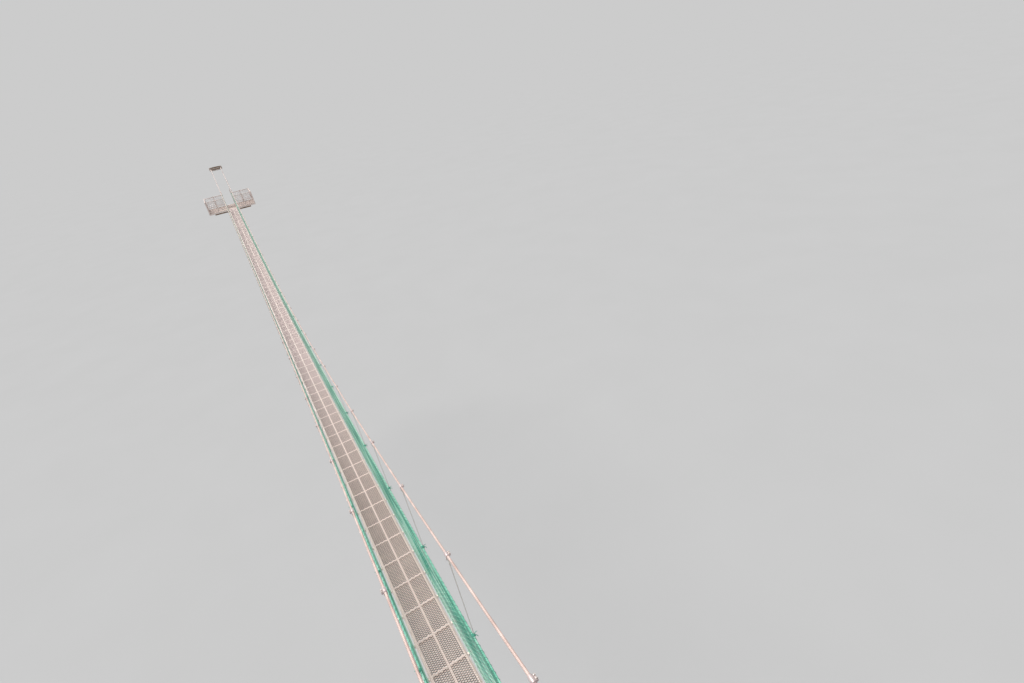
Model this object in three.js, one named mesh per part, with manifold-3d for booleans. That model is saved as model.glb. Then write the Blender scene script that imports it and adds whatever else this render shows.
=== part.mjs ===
// A rope suspension footbridge for a forest canopy walk, as a half-size model of the whole bridge.
// A narrow deck of metal mesh hangs in a shallow curve between two platforms, each clamped round a
// tree trunk. Two main cables run from a collar on one trunk to a collar on the other, hangers drop
// from them to every third bearer, and a net closes each side up to a handrail rope.
// +X is across the bridge, +Y runs from the near platform to the far one and +Z is up.

import * as THREE from 'three';
import { mergeVertices } from 'three/addons/utils/BufferGeometryUtils.js';
import Module from 'manifold-3d';

const wasm = await Module();
wasm.setup();

// Driving dimensions, in millimetres of the full-size bridge.
// The finished group is brought to model size by MODEL_SCALE at the end.
const MODEL_SCALE = 0.5;
const SEAT_GAP = 0.7;

// Deck
const PANEL_PITCH = 600;
const PANELS_PER_BAY = 3;
const BAYS_PER_SECTION = 4;
const SECTIONS = 6;
const DECK_SAG = 1800;
const DECK_WIDTH = 560;
const BEARER_LENGTH = 800;
const BAR_WIDTH = 42;
const BAR_DEPTH = 40;
const MESH_THICKNESS = 6;

// Side nets, handrail ropes and hangers
const NETS_PER_SIDE = 3;
const NET_THICKNESS = 6;
const NET_FOOT_X = 305;
const ROPE_X = 328;
const ROPE_RADIUS = 12;
const ROPE_HEIGHT = 1060;
const ROPE_SIDES = 6;
const HANGER_RADIUS = 5;
const HANGER_SIDES = 4;
const HANGER_FOOT_X = 385;

// Main cables
const CABLE_X = 335;
const CABLE_RADIUS = 13;
const CABLE_SIDES = 6;
const CABLE_ABOVE_DECK = 1394;
const COLLAR_HEIGHT = 2860;

// Tree trunk, which is not part of the bridge
const TRUNK_RADIUS = 400;

// Platforms
const PLATFORM_WIDTH = 3300;
const PLATFORM_DEPTH = 2400;
const FLOOR_THICKNESS = 6;
const FRAME_MEMBER = 60;
const FRAME_DEPTH = 100;
const TRUNK_HOLE_HALF = 410;
const CLAMP_LENGTH = 2600;
const CLAMP_WIDTH = 120;
const CLAMP_DEPTH = 180;
const TIE_ROD_RADIUS = 14;
const TIE_ROD_X = 520;
const TIE_ROD_PROUD = 30;

// Platform railings
const RAIL_HEIGHT = 850;
const POST_SIZE = 50;
const RAIL_SIZE = 40;
const RAIL_FOOT = 80;
const INFILL_THICKNESS = 6;
const ENTRANCE_POST_HEIGHT = 1100;
const POST_INSET = 5;

// Cable collar
const COLLAR_WALL = 40;
const COLLAR_DEPTH = 200;
const COLLAR_SIDES = 16;
const LUG_WIDTH = 40;
const LUG_DEPTH = 90;
const LUG_FRONT = 380;
const LUG_BACK = 255;

// Values worked out from the driving dimensions
const BAY = PANEL_PITCH * PANELS_PER_BAY;
const BAYS = BAYS_PER_SECTION * SECTIONS;
const SECTION_LENGTH = BAY * BAYS_PER_SECTION;
const HALF_SPAN = (BAYS * BAY) / 2;
const DECK_END_Z = -(MESH_THICKNESS + SEAT_GAP);
const PLATFORM_FRONT = HALF_SPAN + SEAT_GAP;
const TRUNK_Y = PLATFORM_FRONT + PLATFORM_DEPTH / 2;
const FRAME_TOP = -(FLOOR_THICKNESS + SEAT_GAP);
const CLAMP_TOP = FRAME_TOP - FRAME_DEPTH - SEAT_GAP;
const CLAMP_MIDDLE_Z = CLAMP_TOP - CLAMP_DEPTH / 2;
const CABLE_END_Y = TRUNK_Y - LUG_FRONT - SEAT_GAP;
const CABLE_LOW_Z = DECK_END_Z - DECK_SAG + CABLE_ABOVE_DECK;
const ROPE_END_Y = PLATFORM_FRONT + POST_INSET - SEAT_GAP;
const HEXAGON_FLAT = Math.cos(Math.PI / ROPE_SIDES);

const galvanised = new THREE.MeshStandardMaterial({ color: 0xc9bab4, roughness: 0.5, metalness: 0.8 });
const deckMesh = new THREE.MeshStandardMaterial({ color: 0xb4a49c, roughness: 0.6, metalness: 0.7 });
const cableSteel = new THREE.MeshStandardMaterial({ color: 0xe3c6b8, roughness: 0.55, metalness: 0.4 });
const greenRope = new THREE.MeshStandardMaterial({ color: 0x2f9480, roughness: 0.9, metalness: 0 });
const greenNet = new THREE.MeshStandardMaterial({ color: 0x49a892, roughness: 0.9, metalness: 0 });
const timber = new THREE.MeshStandardMaterial({ color: 0x7d5f49, roughness: 0.85, metalness: 0 });

const bridge = new THREE.Group();

function addPiece(name, geometry, material) {
  const mesh = new THREE.Mesh(geometry, material);
  mesh.name = name;
  bridge.add(mesh);
}

// Height of the underside of the deck's mesh: a parabola, lowest at mid-span.
function deckZ(y) {
  const t = y / HALF_SPAN;
  return DECK_END_Z - DECK_SAG * (1 - t * t);
}

// Height of a main cable's centre line: a steeper parabola up to the collars.
function cableZ(y) {
  const t = y / CABLE_END_Y;
  return CABLE_LOW_Z + (COLLAR_HEIGHT - CABLE_LOW_Z) * t * t;
}

// Height of a handrail rope's centre line, parallel to the deck.
function ropeZ(y) {
  return deckZ(y) + ROPE_HEIGHT;
}

function moveVertices(geometry, place) {
  const position = geometry.attributes.position;
  const vertex = new THREE.Vector3();
  for (let i = 0; i < position.count; i += 1) {
    vertex.fromBufferAttribute(position, i);
    place(vertex);
    position.setXYZ(i, vertex.x, vertex.y, vertex.z);
  }
  return geometry;
}

// Which station a vertex of a geometry with unit height belongs to, counted from its low end.
function stationOf(unitHeight, stations) {
  return Math.round((unitHeight + 0.5) * (stations.length - 1));
}

// Evenly spaced values from low to high, both ends included.
function spaced(low, high, count) {
  return Array.from({ length: count + 1 }, (_, i) => low + ((high - low) * i) / count);
}

// A rod along Y whose rings stand at the given stations and follow the height function.
function bentRod(stations, radius, sides, x, height) {
  const rod = new THREE.CylinderGeometry(radius, radius, 1, sides, stations.length - 1);
  return moveVertices(rod, (v) => {
    const y = stations[stationOf(v.y, stations)];
    v.set(v.x + x, y, v.z + height(y));
  });
}

// A strip along Y, given by the x and z of its four edges at every station.
function bentStrip(stations, corner) {
  const strip = new THREE.BoxGeometry(1, 1, 1, 1, stations.length - 1, 1);
  return moveVertices(strip, (v) => {
    const y = stations[stationOf(v.y, stations)];
    const [x, z] = corner(y, v.x > 0, v.z > 0);
    v.set(x, y, z);
  });
}

// A flat lattice on a grid of lines: every kept cell becomes part of one slab of the given depth,
// whose top follows the height function along Y.
function latticeSlab(xs, ys, keep, top, depth) {
  const columns = xs.length;
  const layer = columns * ys.length;
  const positions = [];
  for (const low of [true, false]) {
    for (const y of ys) {
      for (const x of xs) {
        positions.push(x, y, top(y) - (low ? depth : 0));
      }
    }
  }
  const kept = (i, j) => i >= 0 && j >= 0 && i < columns - 1 && j < ys.length - 1 && keep(i, j);
  const at = (i, j, upper) => j * columns + i + (upper ? layer : 0);
  const index = [];
  const quad = (a, b, c, d) => index.push(a, b, c, a, c, d);
  const wall = (i0, j0, i1, j1) => {
    quad(at(i0, j0, false), at(i1, j1, false), at(i1, j1, true), at(i0, j0, true));
  };
  for (let j = 0; j < ys.length - 1; j += 1) {
    for (let i = 0; i < columns - 1; i += 1) {
      if (!kept(i, j)) continue;
      quad(at(i, j, true), at(i + 1, j, true), at(i + 1, j + 1, true), at(i, j + 1, true));
      quad(at(i, j, false), at(i, j + 1, false), at(i + 1, j + 1, false), at(i + 1, j, false));
      if (!kept(i, j - 1)) wall(i, j, i + 1, j);
      if (!kept(i + 1, j)) wall(i + 1, j, i + 1, j + 1);
      if (!kept(i, j + 1)) wall(i + 1, j + 1, i, j + 1);
      if (!kept(i - 1, j)) wall(i, j + 1, i, j);
    }
  }
  const geometry = new THREE.BufferGeometry();
  geometry.setAttribute('position', new THREE.Float32BufferAttribute(positions, 3));
  geometry.setIndex(index);
  return dropUnused(geometry);
}

// Removes the grid points that no kept cell uses.
function dropUnused(geometry) {
  return mergeVertices(geometry.toNonIndexed());
}

function box(x0, x1, y0, y1, z0, z1) {
  const geometry = new THREE.BoxGeometry(x1 - x0, y1 - y0, z1 - z0);
  geometry.translate((x0 + x1) / 2, (y0 + y1) / 2, (z0 + z1) / 2);
  return geometry;
}

function toSolid(geometry) {
  const bare = geometry.clone();
  bare.deleteAttribute('normal');
  bare.deleteAttribute('uv');
  const merged = mergeVertices(bare);
  return new wasm.Manifold(new wasm.Mesh({
    numProp: 3,
    vertProperties: new Float32Array(merged.attributes.position.array),
    triVerts: new Uint32Array(merged.index.array),
  }));
}

// Joins overlapping closed shapes into one.
function fuse(geometries) {
  const solid = geometries.map(toSolid).reduce((sum, next) => sum.add(next));
  const mesh = solid.getMesh();
  const geometry = new THREE.BufferGeometry();
  geometry.setAttribute('position', new THREE.BufferAttribute(mesh.vertProperties, 3));
  geometry.setIndex(new THREE.BufferAttribute(mesh.triVerts, 1));
  return geometry;
}

// Deck: each section is a ladder of flat bars, with its mesh lying on top.
// Its cross bars stick out past the sides as bearers, and the sections meet at a shared bearer.
function deckSection(number) {
  const start = -HALF_SPAN + number * SECTION_LENGTH;
  const panels = BAYS_PER_SECTION * PANELS_PER_BAY;
  const half = SEAT_GAP / 2;
  const ends = [start + half, start + SECTION_LENGTH - half];

  const ys = [ends[0], start + BAR_WIDTH / 2];
  for (let panel = 1; panel < panels; panel += 1) {
    const y = start + panel * PANEL_PITCH;
    ys.push(y - BAR_WIDTH / 2, y + BAR_WIDTH / 2);
  }
  ys.push(start + SECTION_LENGTH - BAR_WIDTH / 2, ends[1]);

  const side = DECK_WIDTH / 2;
  const tip = BEARER_LENGTH / 2;
  const xs = [-tip, -side, -side + BAR_WIDTH, -BAR_WIDTH / 2, BAR_WIDTH / 2, side - BAR_WIDTH, side, tip];
  const longBars = [1, 3, 5];
  const keep = (i, j) => j % 2 === 0 || longBars.includes(i);
  addPiece(`deck_frame_${number + 1}`, latticeSlab(xs, ys, keep, deckZ, BAR_DEPTH), galvanised);

  const sheet = bentStrip(spaced(ends[0], ends[1], panels), (y, right, upper) => [
    right ? side : -side,
    deckZ(y) + SEAT_GAP + (upper ? MESH_THICKNESS : 0),
  ]);
  addPiece(`deck_mesh_${number + 1}`, sheet, deckMesh);
}

// Side net: leans out from just beside the deck to the inner side of the handrail rope.
function sideNet(sideName, sign, number) {
  const bays = BAYS / NETS_PER_SIDE;
  const start = -HALF_SPAN + number * bays * BAY;
  const half = SEAT_GAP / 2;
  const stations = spaced(start, start + bays * BAY, bays);
  stations[0] += half;
  stations[bays] -= half;
  const topX = ROPE_X - ROPE_RADIUS * HEXAGON_FLAT - SEAT_GAP - NET_THICKNESS / 2;
  const net = bentStrip(stations, (y, right, upper) => {
    const middle = sign * (upper ? topX : NET_FOOT_X);
    const x = middle + (right ? NET_THICKNESS / 2 : -NET_THICKNESS / 2);
    return [x, upper ? ropeZ(y) : deckZ(y) + SEAT_GAP];
  });
  addPiece(`${sideName}_net_${number + 1}`, net, greenNet);
}

// Where the hangers are: at every third bearer, the outermost ones on the deck's own end bearers.
function hangerStations() {
  const inset = BAR_WIDTH / 4;
  return spaced(-HALF_SPAN, HALF_SPAN, BAYS).map((y) => {
    if (y === -HALF_SPAN) return y + inset;
    if (y === HALF_SPAN) return y - inset;
    return y;
  });
}

// Hanger: from under the main cable, in to the handrail rope, and out to the tip of its bearer.
function hanger(sign, y) {
  const slope = (2 * (COLLAR_HEIGHT - CABLE_LOW_Z) * Math.abs(y)) / (CABLE_END_Y * CABLE_END_Y);
  const underCable = cableZ(y) - CABLE_RADIUS - SEAT_GAP - slope * HANGER_RADIUS;
  const path = [
    [HANGER_FOOT_X, deckZ(y) + SEAT_GAP],
    [ROPE_X, ropeZ(y)],
    [CABLE_X, underCable],
  ];
  const wire = new THREE.CylinderGeometry(HANGER_RADIUS, HANGER_RADIUS, 1, HANGER_SIDES, path.length - 1);
  wire.rotateX(Math.PI / 2);
  return moveVertices(wire, (v) => {
    const [x, z] = path[stationOf(v.z, path)];
    v.set(sign * x + v.x, y + v.y, z);
  });
}

// Handrail: one rope from post to post, tied to every hanger where they cross.
function handrail(sideName, sign) {
  const stations = spaced(-HALF_SPAN, HALF_SPAN, BAYS);
  stations[0] = -ROPE_END_Y;
  stations[BAYS] = ROPE_END_Y;
  const rope = bentRod(stations, ROPE_RADIUS, ROPE_SIDES, sign * ROPE_X, ropeZ);
  const hangers = hangerStations().map((y) => hanger(sign, y));
  addPiece(`${sideName}_handrail_and_hangers`, fuse([rope, ...hangers]), greenRope);
}

function mainCable(sideName, sign) {
  const stations = [-CABLE_END_Y, ...spaced(-HALF_SPAN, HALF_SPAN, BAYS), CABLE_END_Y];
  const cable = bentRod(stations, CABLE_RADIUS, CABLE_SIDES, sign * CABLE_X, cableZ);
  addPiece(`${sideName}_main_cable`, cable, cableSteel);
}

// Platform: a steel frame and its mesh floor, with a square hole that the trunk grows through.
function platformDeck(endName, trunkY) {
  const lines = (half) => [
    -half,
    -half + FRAME_MEMBER,
    -TRUNK_HOLE_HALF - FRAME_MEMBER,
    -TRUNK_HOLE_HALF,
    TRUNK_HOLE_HALF,
    TRUNK_HOLE_HALF + FRAME_MEMBER,
    half - FRAME_MEMBER,
    half,
  ];
  const xs = lines(PLATFORM_WIDTH / 2);
  const ys = lines(PLATFORM_DEPTH / 2).map((y) => y + trunkY);
  const member = (i, j) => i % 2 === 0 || j % 2 === 0;
  const frame = latticeSlab(xs, ys, member, () => FRAME_TOP, FRAME_DEPTH);
  addPiece(`${endName}_platform_frame`, frame, galvanised);

  const floorXs = [xs[0], -TRUNK_HOLE_HALF, TRUNK_HOLE_HALF, xs[7]];
  const floorYs = [ys[0], trunkY - TRUNK_HOLE_HALF, trunkY + TRUNK_HOLE_HALF, ys[7]];
  const aroundTrunk = (i, j) => i !== 1 || j !== 1;
  const floor = latticeSlab(floorXs, floorYs, aroundTrunk, () => 0, FLOOR_THICKNESS);
  addPiece(`${endName}_platform_floor`, floor, deckMesh);
}

// Trunk clamp: two timber beams drawn against the trunk by a tie rod on each side of it.
function trunkClamp(endName, trunkY) {
  const outer = TRUNK_RADIUS + CLAMP_WIDTH;
  const beams = [-1, 1].map((sign) => {
    const faces = [sign * TRUNK_RADIUS, sign * outer].sort((a, b) => a - b);
    return box(
      -CLAMP_LENGTH / 2, CLAMP_LENGTH / 2,
      trunkY + faces[0], trunkY + faces[1],
      CLAMP_TOP - CLAMP_DEPTH, CLAMP_TOP,
    );
  });
  const rods = [-1, 1].map((sign) => {
    const rod = new THREE.CylinderGeometry(
      TIE_ROD_RADIUS, TIE_ROD_RADIUS, 2 * (outer + TIE_ROD_PROUD), 8,
    );
    rod.translate(sign * TIE_ROD_X, trunkY, CLAMP_MIDDLE_Z);
    return rod;
  });
  addPiece(`${endName}_trunk_clamp`, fuse([...beams, ...rods]), timber);
}

// Cable collar: a band round the trunk above head height, with a lug for each main cable.
// The facing value is +1 where the bridge lies on the +Y side of the trunk and -1 where it does not.
function cableCollar(endName, trunkY, facing) {
  const inner = TRUNK_RADIUS / Math.cos(Math.PI / COLLAR_SIDES);
  const outer = inner + COLLAR_WALL;
  const profile = [
    new THREE.Vector2(inner, -COLLAR_DEPTH / 2),
    new THREE.Vector2(outer, -COLLAR_DEPTH / 2),
    new THREE.Vector2(outer, COLLAR_DEPTH / 2),
    new THREE.Vector2(inner, COLLAR_DEPTH / 2),
    new THREE.Vector2(inner, -COLLAR_DEPTH / 2),
  ];
  const band = new THREE.LatheGeometry(profile, COLLAR_SIDES);
  band.rotateX(Math.PI / 2);
  band.translate(0, trunkY, COLLAR_HEIGHT);
  const lugs = [-1, 1].map((sign) => {
    const ys = [facing * LUG_BACK, facing * LUG_FRONT].sort((a, b) => a - b);
    return box(
      sign * CABLE_X - LUG_WIDTH / 2, sign * CABLE_X + LUG_WIDTH / 2,
      trunkY + ys[0], trunkY + ys[1],
      COLLAR_HEIGHT - LUG_DEPTH / 2, COLLAR_HEIGHT + LUG_DEPTH / 2,
    );
  });
  addPiece(`${endName}_cable_collar`, fuse([band, ...lugs]), timber);
}

// Railing panel: posts, a top rail, a foot rail and mesh between them, all in one plane.
// The along function turns a distance along the panel and one across it into x and y.
function railingPanel(name, along, posts, railStart, railEnd) {
  const slab = (a0, a1, halfWidth, z0, z1) => {
    const [p, q] = [along(a0, -halfWidth), along(a1, halfWidth)];
    const [x0, x1] = [Math.min(p[0], q[0]), Math.max(p[0], q[0])];
    const [y0, y1] = [Math.min(p[1], q[1]), Math.max(p[1], q[1])];
    return box(x0, x1, y0, y1, z0, z1);
  };
  const half = POST_SIZE / 2;
  const pieces = posts.map(([a, height]) => slab(a - half, a + half, half, SEAT_GAP, height));
  pieces.push(slab(railStart, railEnd, RAIL_SIZE / 2, RAIL_HEIGHT - RAIL_SIZE, RAIL_HEIGHT));
  pieces.push(slab(railStart, railEnd, RAIL_SIZE / 2, RAIL_FOOT, RAIL_FOOT + RAIL_SIZE));
  const margin = RAIL_SIZE / 2;
  const infillEnds = [railStart + INFILL_THICKNESS, railEnd - INFILL_THICKNESS];
  pieces.push(slab(
    infillEnds[0], infillEnds[1], INFILL_THICKNESS / 2, RAIL_FOOT + margin, RAIL_HEIGHT - margin,
  ));
  addPiece(name, fuse(pieces), galvanised);
}

// Railings: a straight panel on each side of the platform, and two short ones at its front and
// back, with an entrance between them.
function railings(endName, trunkY, facing) {
  const half = POST_SIZE / 2;
  const sideX = PLATFORM_WIDTH / 2 - half - POST_INSET;
  const endOffset = PLATFORM_DEPTH / 2 - half - POST_INSET;
  const postTop = RAIL_HEIGHT + POST_SIZE / 2;
  for (const [sideName, sign] of [['left', -1], ['right', 1]]) {
    const alongSide = (a, across) => [sign * sideX + across, trunkY + a];
    const posts = [[-endOffset, postTop], [0, postTop], [endOffset, postTop]];
    railingPanel(`${endName}_railing_${sideName}`, alongSide, posts, -endOffset, endOffset);

    for (const [placeName, direction] of [['front', facing], ['back', -facing]]) {
      const lineY = trunkY + direction * endOffset;
      const alongEnd = (a, across) => [sign * a, lineY + across];
      const railEnd = sideX - half - SEAT_GAP;
      const middle = (ROPE_X + sideX) / 2;
      const endPosts = [[ROPE_X, ENTRANCE_POST_HEIGHT], [middle, postTop]];
      railingPanel(`${endName}_railing_${placeName}_${sideName}`, alongEnd, endPosts, ROPE_X, railEnd);
    }
  }
}

for (let number = 0; number < SECTIONS; number += 1) {
  deckSection(number);
}

for (const [sideName, sign] of [['left', -1], ['right', 1]]) {
  for (let number = 0; number < NETS_PER_SIDE; number += 1) {
    sideNet(sideName, sign, number);
  }
  handrail(sideName, sign);
  mainCable(sideName, sign);
}

for (const [endName, sign] of [['near', -1], ['far', 1]]) {
  const trunkY = sign * TRUNK_Y;
  const facing = -sign;
  platformDeck(endName, trunkY);
  trunkClamp(endName, trunkY);
  cableCollar(endName, trunkY, facing);
  railings(endName, trunkY, facing);
}

// The origin is the middle of the near clamp's bearing face, on the bridge's side of the trunk.
bridge.position.set(0, (TRUNK_Y - TRUNK_RADIUS) * MODEL_SCALE, -CLAMP_MIDDLE_Z * MODEL_SCALE);
bridge.scale.setScalar(MODEL_SCALE);

export default bridge;
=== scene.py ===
# %% [markdown]
# # A hanging footbridge between two trees
# The bridge is a long steel ladder with metal mesh on it. Thin wires hang it from two steel cables, and
# green netting closes its sides up to a green handrail rope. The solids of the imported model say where
# everything is. This lesson keeps the solids that are already right, and lays finer pieces over the places
# of the others: strands, knots, laid ropes, clamps and wire panels, all worked out as whole arrays of
# points.

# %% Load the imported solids
import math

import bpy
import numpy as np
from mathutils import Matrix, Vector


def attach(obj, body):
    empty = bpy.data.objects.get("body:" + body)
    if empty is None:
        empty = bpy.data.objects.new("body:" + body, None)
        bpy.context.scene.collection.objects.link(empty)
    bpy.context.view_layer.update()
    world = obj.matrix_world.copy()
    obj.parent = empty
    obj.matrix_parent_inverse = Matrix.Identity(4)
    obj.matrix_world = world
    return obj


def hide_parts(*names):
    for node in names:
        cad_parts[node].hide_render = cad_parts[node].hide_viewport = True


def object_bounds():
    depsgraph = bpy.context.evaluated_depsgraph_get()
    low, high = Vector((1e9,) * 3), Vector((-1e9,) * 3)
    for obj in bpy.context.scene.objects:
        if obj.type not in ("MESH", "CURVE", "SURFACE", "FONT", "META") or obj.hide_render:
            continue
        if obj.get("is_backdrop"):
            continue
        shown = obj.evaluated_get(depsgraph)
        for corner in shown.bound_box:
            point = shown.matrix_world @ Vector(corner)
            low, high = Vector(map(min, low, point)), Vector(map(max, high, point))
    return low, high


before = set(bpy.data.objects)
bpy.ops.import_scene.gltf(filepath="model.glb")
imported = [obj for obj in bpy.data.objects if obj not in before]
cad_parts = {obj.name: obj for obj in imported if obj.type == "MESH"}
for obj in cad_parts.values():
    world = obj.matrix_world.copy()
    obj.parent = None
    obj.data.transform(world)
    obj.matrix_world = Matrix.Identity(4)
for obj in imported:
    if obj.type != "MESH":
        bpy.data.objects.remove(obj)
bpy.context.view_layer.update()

# %% [markdown]
# ## Measures
# The model is half the size of the bridge. All shapes below are worked out in millimetres of the real
# bridge: across it from its middle line, along it from the middle of the span, and up from the platform
# floors. One function turns such points into the model's metres, so no other line needs to think about the
# scale.

# %% The bridge's measures, in millimetres at full size
MODEL_SCALE = 0.5 / 1000
MOUNT_TO_MIDDLE = 22400.7
MOUNT_TO_FLOOR = 197.4
HALF_SPAN = 21600.0
SPAN_SAG = 1800.0
LADDER_END = -6.7
PANEL = 600.0
BAY = 3 * PANEL
BAR_WIDTH, BAR_DEEP = 42.0, 40.0
SEAT = 0.7
SIDES = {"left": -1, "right": 1}
ENDS = {"near": -1, "far": 1}
ACROSS, ALONG, UP = np.eye(3)


def points_at(x, along, height):
    """Points from three coordinates. Each is an array, or one number for all of them."""
    return np.stack(np.broadcast_arrays(x, along, height), -1)


def to_model(points):
    """Full-size points in the model's metres: the origin moves to the near clamp, then all is scaled."""
    return (points + points_at(0.0, MOUNT_TO_MIDDLE, MOUNT_TO_FLOOR)) * MODEL_SCALE


def deck_height(along):
    """The ladder's top: a parabola that sags by SPAN_SAG at mid-span."""
    return LADDER_END - SPAN_SAG * (1 - (along / HALF_SPAN) ** 2)


print("the deck's middle is at height", round(deck_height(0.0) * MODEL_SCALE, 3), "m in the model")

# %% [markdown]
# ## Camera
# The photograph looks down on the deck from above the near platform, with the far tree at the upper left.
# The camera was fitted to the cross bars, the cables and the far end, so its place, its turn and its lens
# are known. It is set from three angles, because a level walkway makes yaw, pitch and roll easy to think
# in.

# %% Set the camera
CAMERA_PLACE = (-0.1342, -0.6032, 3.3033)
CAMERA_YAW, CAMERA_PITCH, CAMERA_ROLL = 0.4357, 0.4934, -0.1886
CAMERA_FOCUS_PIXELS = 519.5
PHOTO_WIDTH_PIXELS = 1024
SENSOR_WIDTH = 36.0
NEAREST_SEEN, FURTHEST_SEEN = 0.02, 2000.0


def camera_axes(yaw, pitch, roll):
    """Right, up and back of a camera that turns right by yaw, looks down by pitch and then rolls."""
    forward = np.array([math.sin(yaw) * math.cos(pitch), math.cos(yaw) * math.cos(pitch), -math.sin(pitch)])
    level_right = np.array([math.cos(yaw), -math.sin(yaw), 0.0])
    level_up = np.cross(level_right, forward)
    right = math.cos(roll) * level_right + math.sin(roll) * level_up
    up = -math.sin(roll) * level_right + math.cos(roll) * level_up
    return right, up, -forward


camera = bpy.data.objects.new("camera", bpy.data.cameras.new("camera"))
bpy.context.scene.collection.objects.link(camera)
camera.data.sensor_width = SENSOR_WIDTH
camera.data.lens = CAMERA_FOCUS_PIXELS / PHOTO_WIDTH_PIXELS * SENSOR_WIDTH
camera.data.clip_start, camera.data.clip_end = NEAREST_SEEN, FURTHEST_SEEN
turn = np.eye(4)
turn[:3, 0], turn[:3, 1], turn[:3, 2] = camera_axes(CAMERA_YAW, CAMERA_PITCH, CAMERA_ROLL)
turn[:3, 3] = CAMERA_PLACE
camera.matrix_world = Matrix(turn.tolist())
bpy.context.scene.camera = camera
print("the lens is", round(camera.data.lens, 2), "mm")

# %% [markdown]
# ## Surfaces carried along paths
# Nearly everything on this bridge is something long with one section: a bar, a wire, a rope or a strand of
# mesh. So one function carries a profile along paths, for hundreds of paths at once. It works on whole
# arrays. It also keeps a second set of coordinates, as if each path were laid out straight, for patterns
# that follow a rope. Each path's coordinates start some way on from the last one's, so that no two
# stretches get the same stains.

# %% Carry a profile along paths
NEXT_PATH = 613.0


def unit(vectors):
    """Vectors divided by their own length."""
    return vectors / np.linalg.norm(vectors, axis=-1, keepdims=True)


def carried(paths, profile, up=UP, size=1.0, tangent=None, closed=False, sides=None):
    """A closed profile carried along each path, as points, faces and straightened coordinates.

    paths is (pieces, rings, 3), and profile (corners, 2) runs counter-clockwise. With t the direction of
    travel, side is t cross up, lift is side cross t, and a corner is at path + size * (x * side + y * lift).
    sides may give side and lift directly. Open ends get flat caps.
    """
    paths = np.asarray(paths, float)
    paths = paths[None] if paths.ndim == 2 else paths
    pieces, rings = paths.shape[:2]
    corners = np.shape(profile)[-2]
    if sides is None:
        if tangent is not None:
            t = np.broadcast_to(np.asarray(tangent, float), paths.shape)
        elif closed:
            t = np.roll(paths, -1, 1) - np.roll(paths, 1, 1)
        else:
            t = np.gradient(paths, axis=1)
        t = unit(t)
        side = unit(np.cross(t, np.asarray(up, float)))
        lift = np.cross(side, t)
    else:
        side, lift = (np.broadcast_to(np.asarray(v, float), paths.shape) for v in sides)
    sizes = size if np.isscalar(size) else np.asarray(size)[..., None, None]
    offsets = np.broadcast_to(profile, (pieces, rings, corners, 2)) * sizes
    points = paths[:, :, None] + offsets[..., :1] * side[:, :, None] + offsets[..., 1:] * lift[:, :, None]
    steps = np.linalg.norm(np.diff(paths, axis=1), axis=2)
    run = np.concatenate([np.zeros((pieces, 1)), np.cumsum(steps, axis=1)], axis=1)
    run = run + np.arange(pieces)[:, None] * NEXT_PATH
    straight = np.concatenate([np.broadcast_to(run[:, :, None, None], offsets.shape[:3] + (1,)), offsets], -1)
    first = np.arange(pieces)[:, None, None] * rings * corners
    ring = np.arange(rings if closed else rings - 1)[None, :, None]
    corner = np.arange(corners)
    here = first + ring * corners
    beyond = first + (ring + 1) % rings * corners
    corner_after = (corner + 1) % corners
    walls = [here + corner, beyond + corner, beyond + corner_after, here + corner_after]
    faces = [np.stack(walls, -1).reshape(-1, 4)]
    if not closed:
        faces.append(first[:, 0] + corner)
        faces.append(first[:, 0] + (rings - 1) * corners + corner[::-1])
    return points.reshape(-1, 3), faces, straight.reshape(-1, 3)


def round_profile(radius, corners):
    """Points of a circle, counter-clockwise, with a flat side down."""
    angle = 2 * np.pi * (np.arange(corners) + 0.5) / corners - np.pi / 2
    return radius * np.stack([np.cos(angle), np.sin(angle)], -1)


def flat_profile(width, height, chamfer=0.0):
    """A rectangle, or one with its four corners cut off by the chamfer."""
    a, b, c = width / 2, height / 2, chamfer
    if not c:
        return np.array([(a, -b), (a, b), (-a, b), (-a, -b)])
    right = [(a, c - b), (a, b - c), (a - c, b)]
    left = [(c - a, b), (-a, b - c), (-a, c - b)]
    return np.array(right + left + [(c - a, -b), (a - c, -b)])


print("a bar's profile has", len(flat_profile(50, 40, 3)), "corners")

# %% [markdown]
# ## Straight bars and turned pieces
# A straight bar is a path of two points, or of four where its ends are chamfered. A turned piece, such as a
# nut, a washer or a clamp sleeve, is a circle carried along a straight axis while its size changes.

# %% Bars and turned pieces
CHAMFER_LEFT_AT_ENDS = 0.2
NEARLY_UPRIGHT = 0.9


def rows_of_points(*arrays):
    """The arrays as rows of points, one row for each piece."""
    return np.broadcast_arrays(*(np.atleast_2d(array).astype(float) for array in arrays))


def bars(starts, ends, width, height, chamfer=0.0, up=UP):
    """Straight bars from each start to its end. A chamfer also draws the profile in at both ends."""
    starts, ends = rows_of_points(starts, ends)
    if not chamfer:
        return carried(np.stack([starts, ends], 1), flat_profile(width, height), up)
    inset = unit(ends - starts) * chamfer
    full = flat_profile(width, height, chamfer)
    small = flat_profile(width - 2 * chamfer, height - 2 * chamfer,
                         chamfer * CHAMFER_LEFT_AT_ENDS)
    paths = np.stack([starts, starts + inset, ends - inset, ends], 1)
    return carried(paths, np.stack([small, full, full, small]), up)


def turned(centres, axes, outline, corners):
    """A solid of revolution at each centre. outline rows are (radius, distance along the axis)."""
    centres, axes = rows_of_points(centres, axes)
    axes = unit(axes)
    outline = np.asarray(outline, float)
    up = np.where(np.abs(axes[:, 2:]) < NEARLY_UPRIGHT, UP, ALONG)[:, None]
    paths = centres[:, None] + axes[:, None] * outline[None, :, 1:]
    return carried(paths, round_profile(1.0, corners), up, outline[:, 0], axes[:, None])


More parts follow.
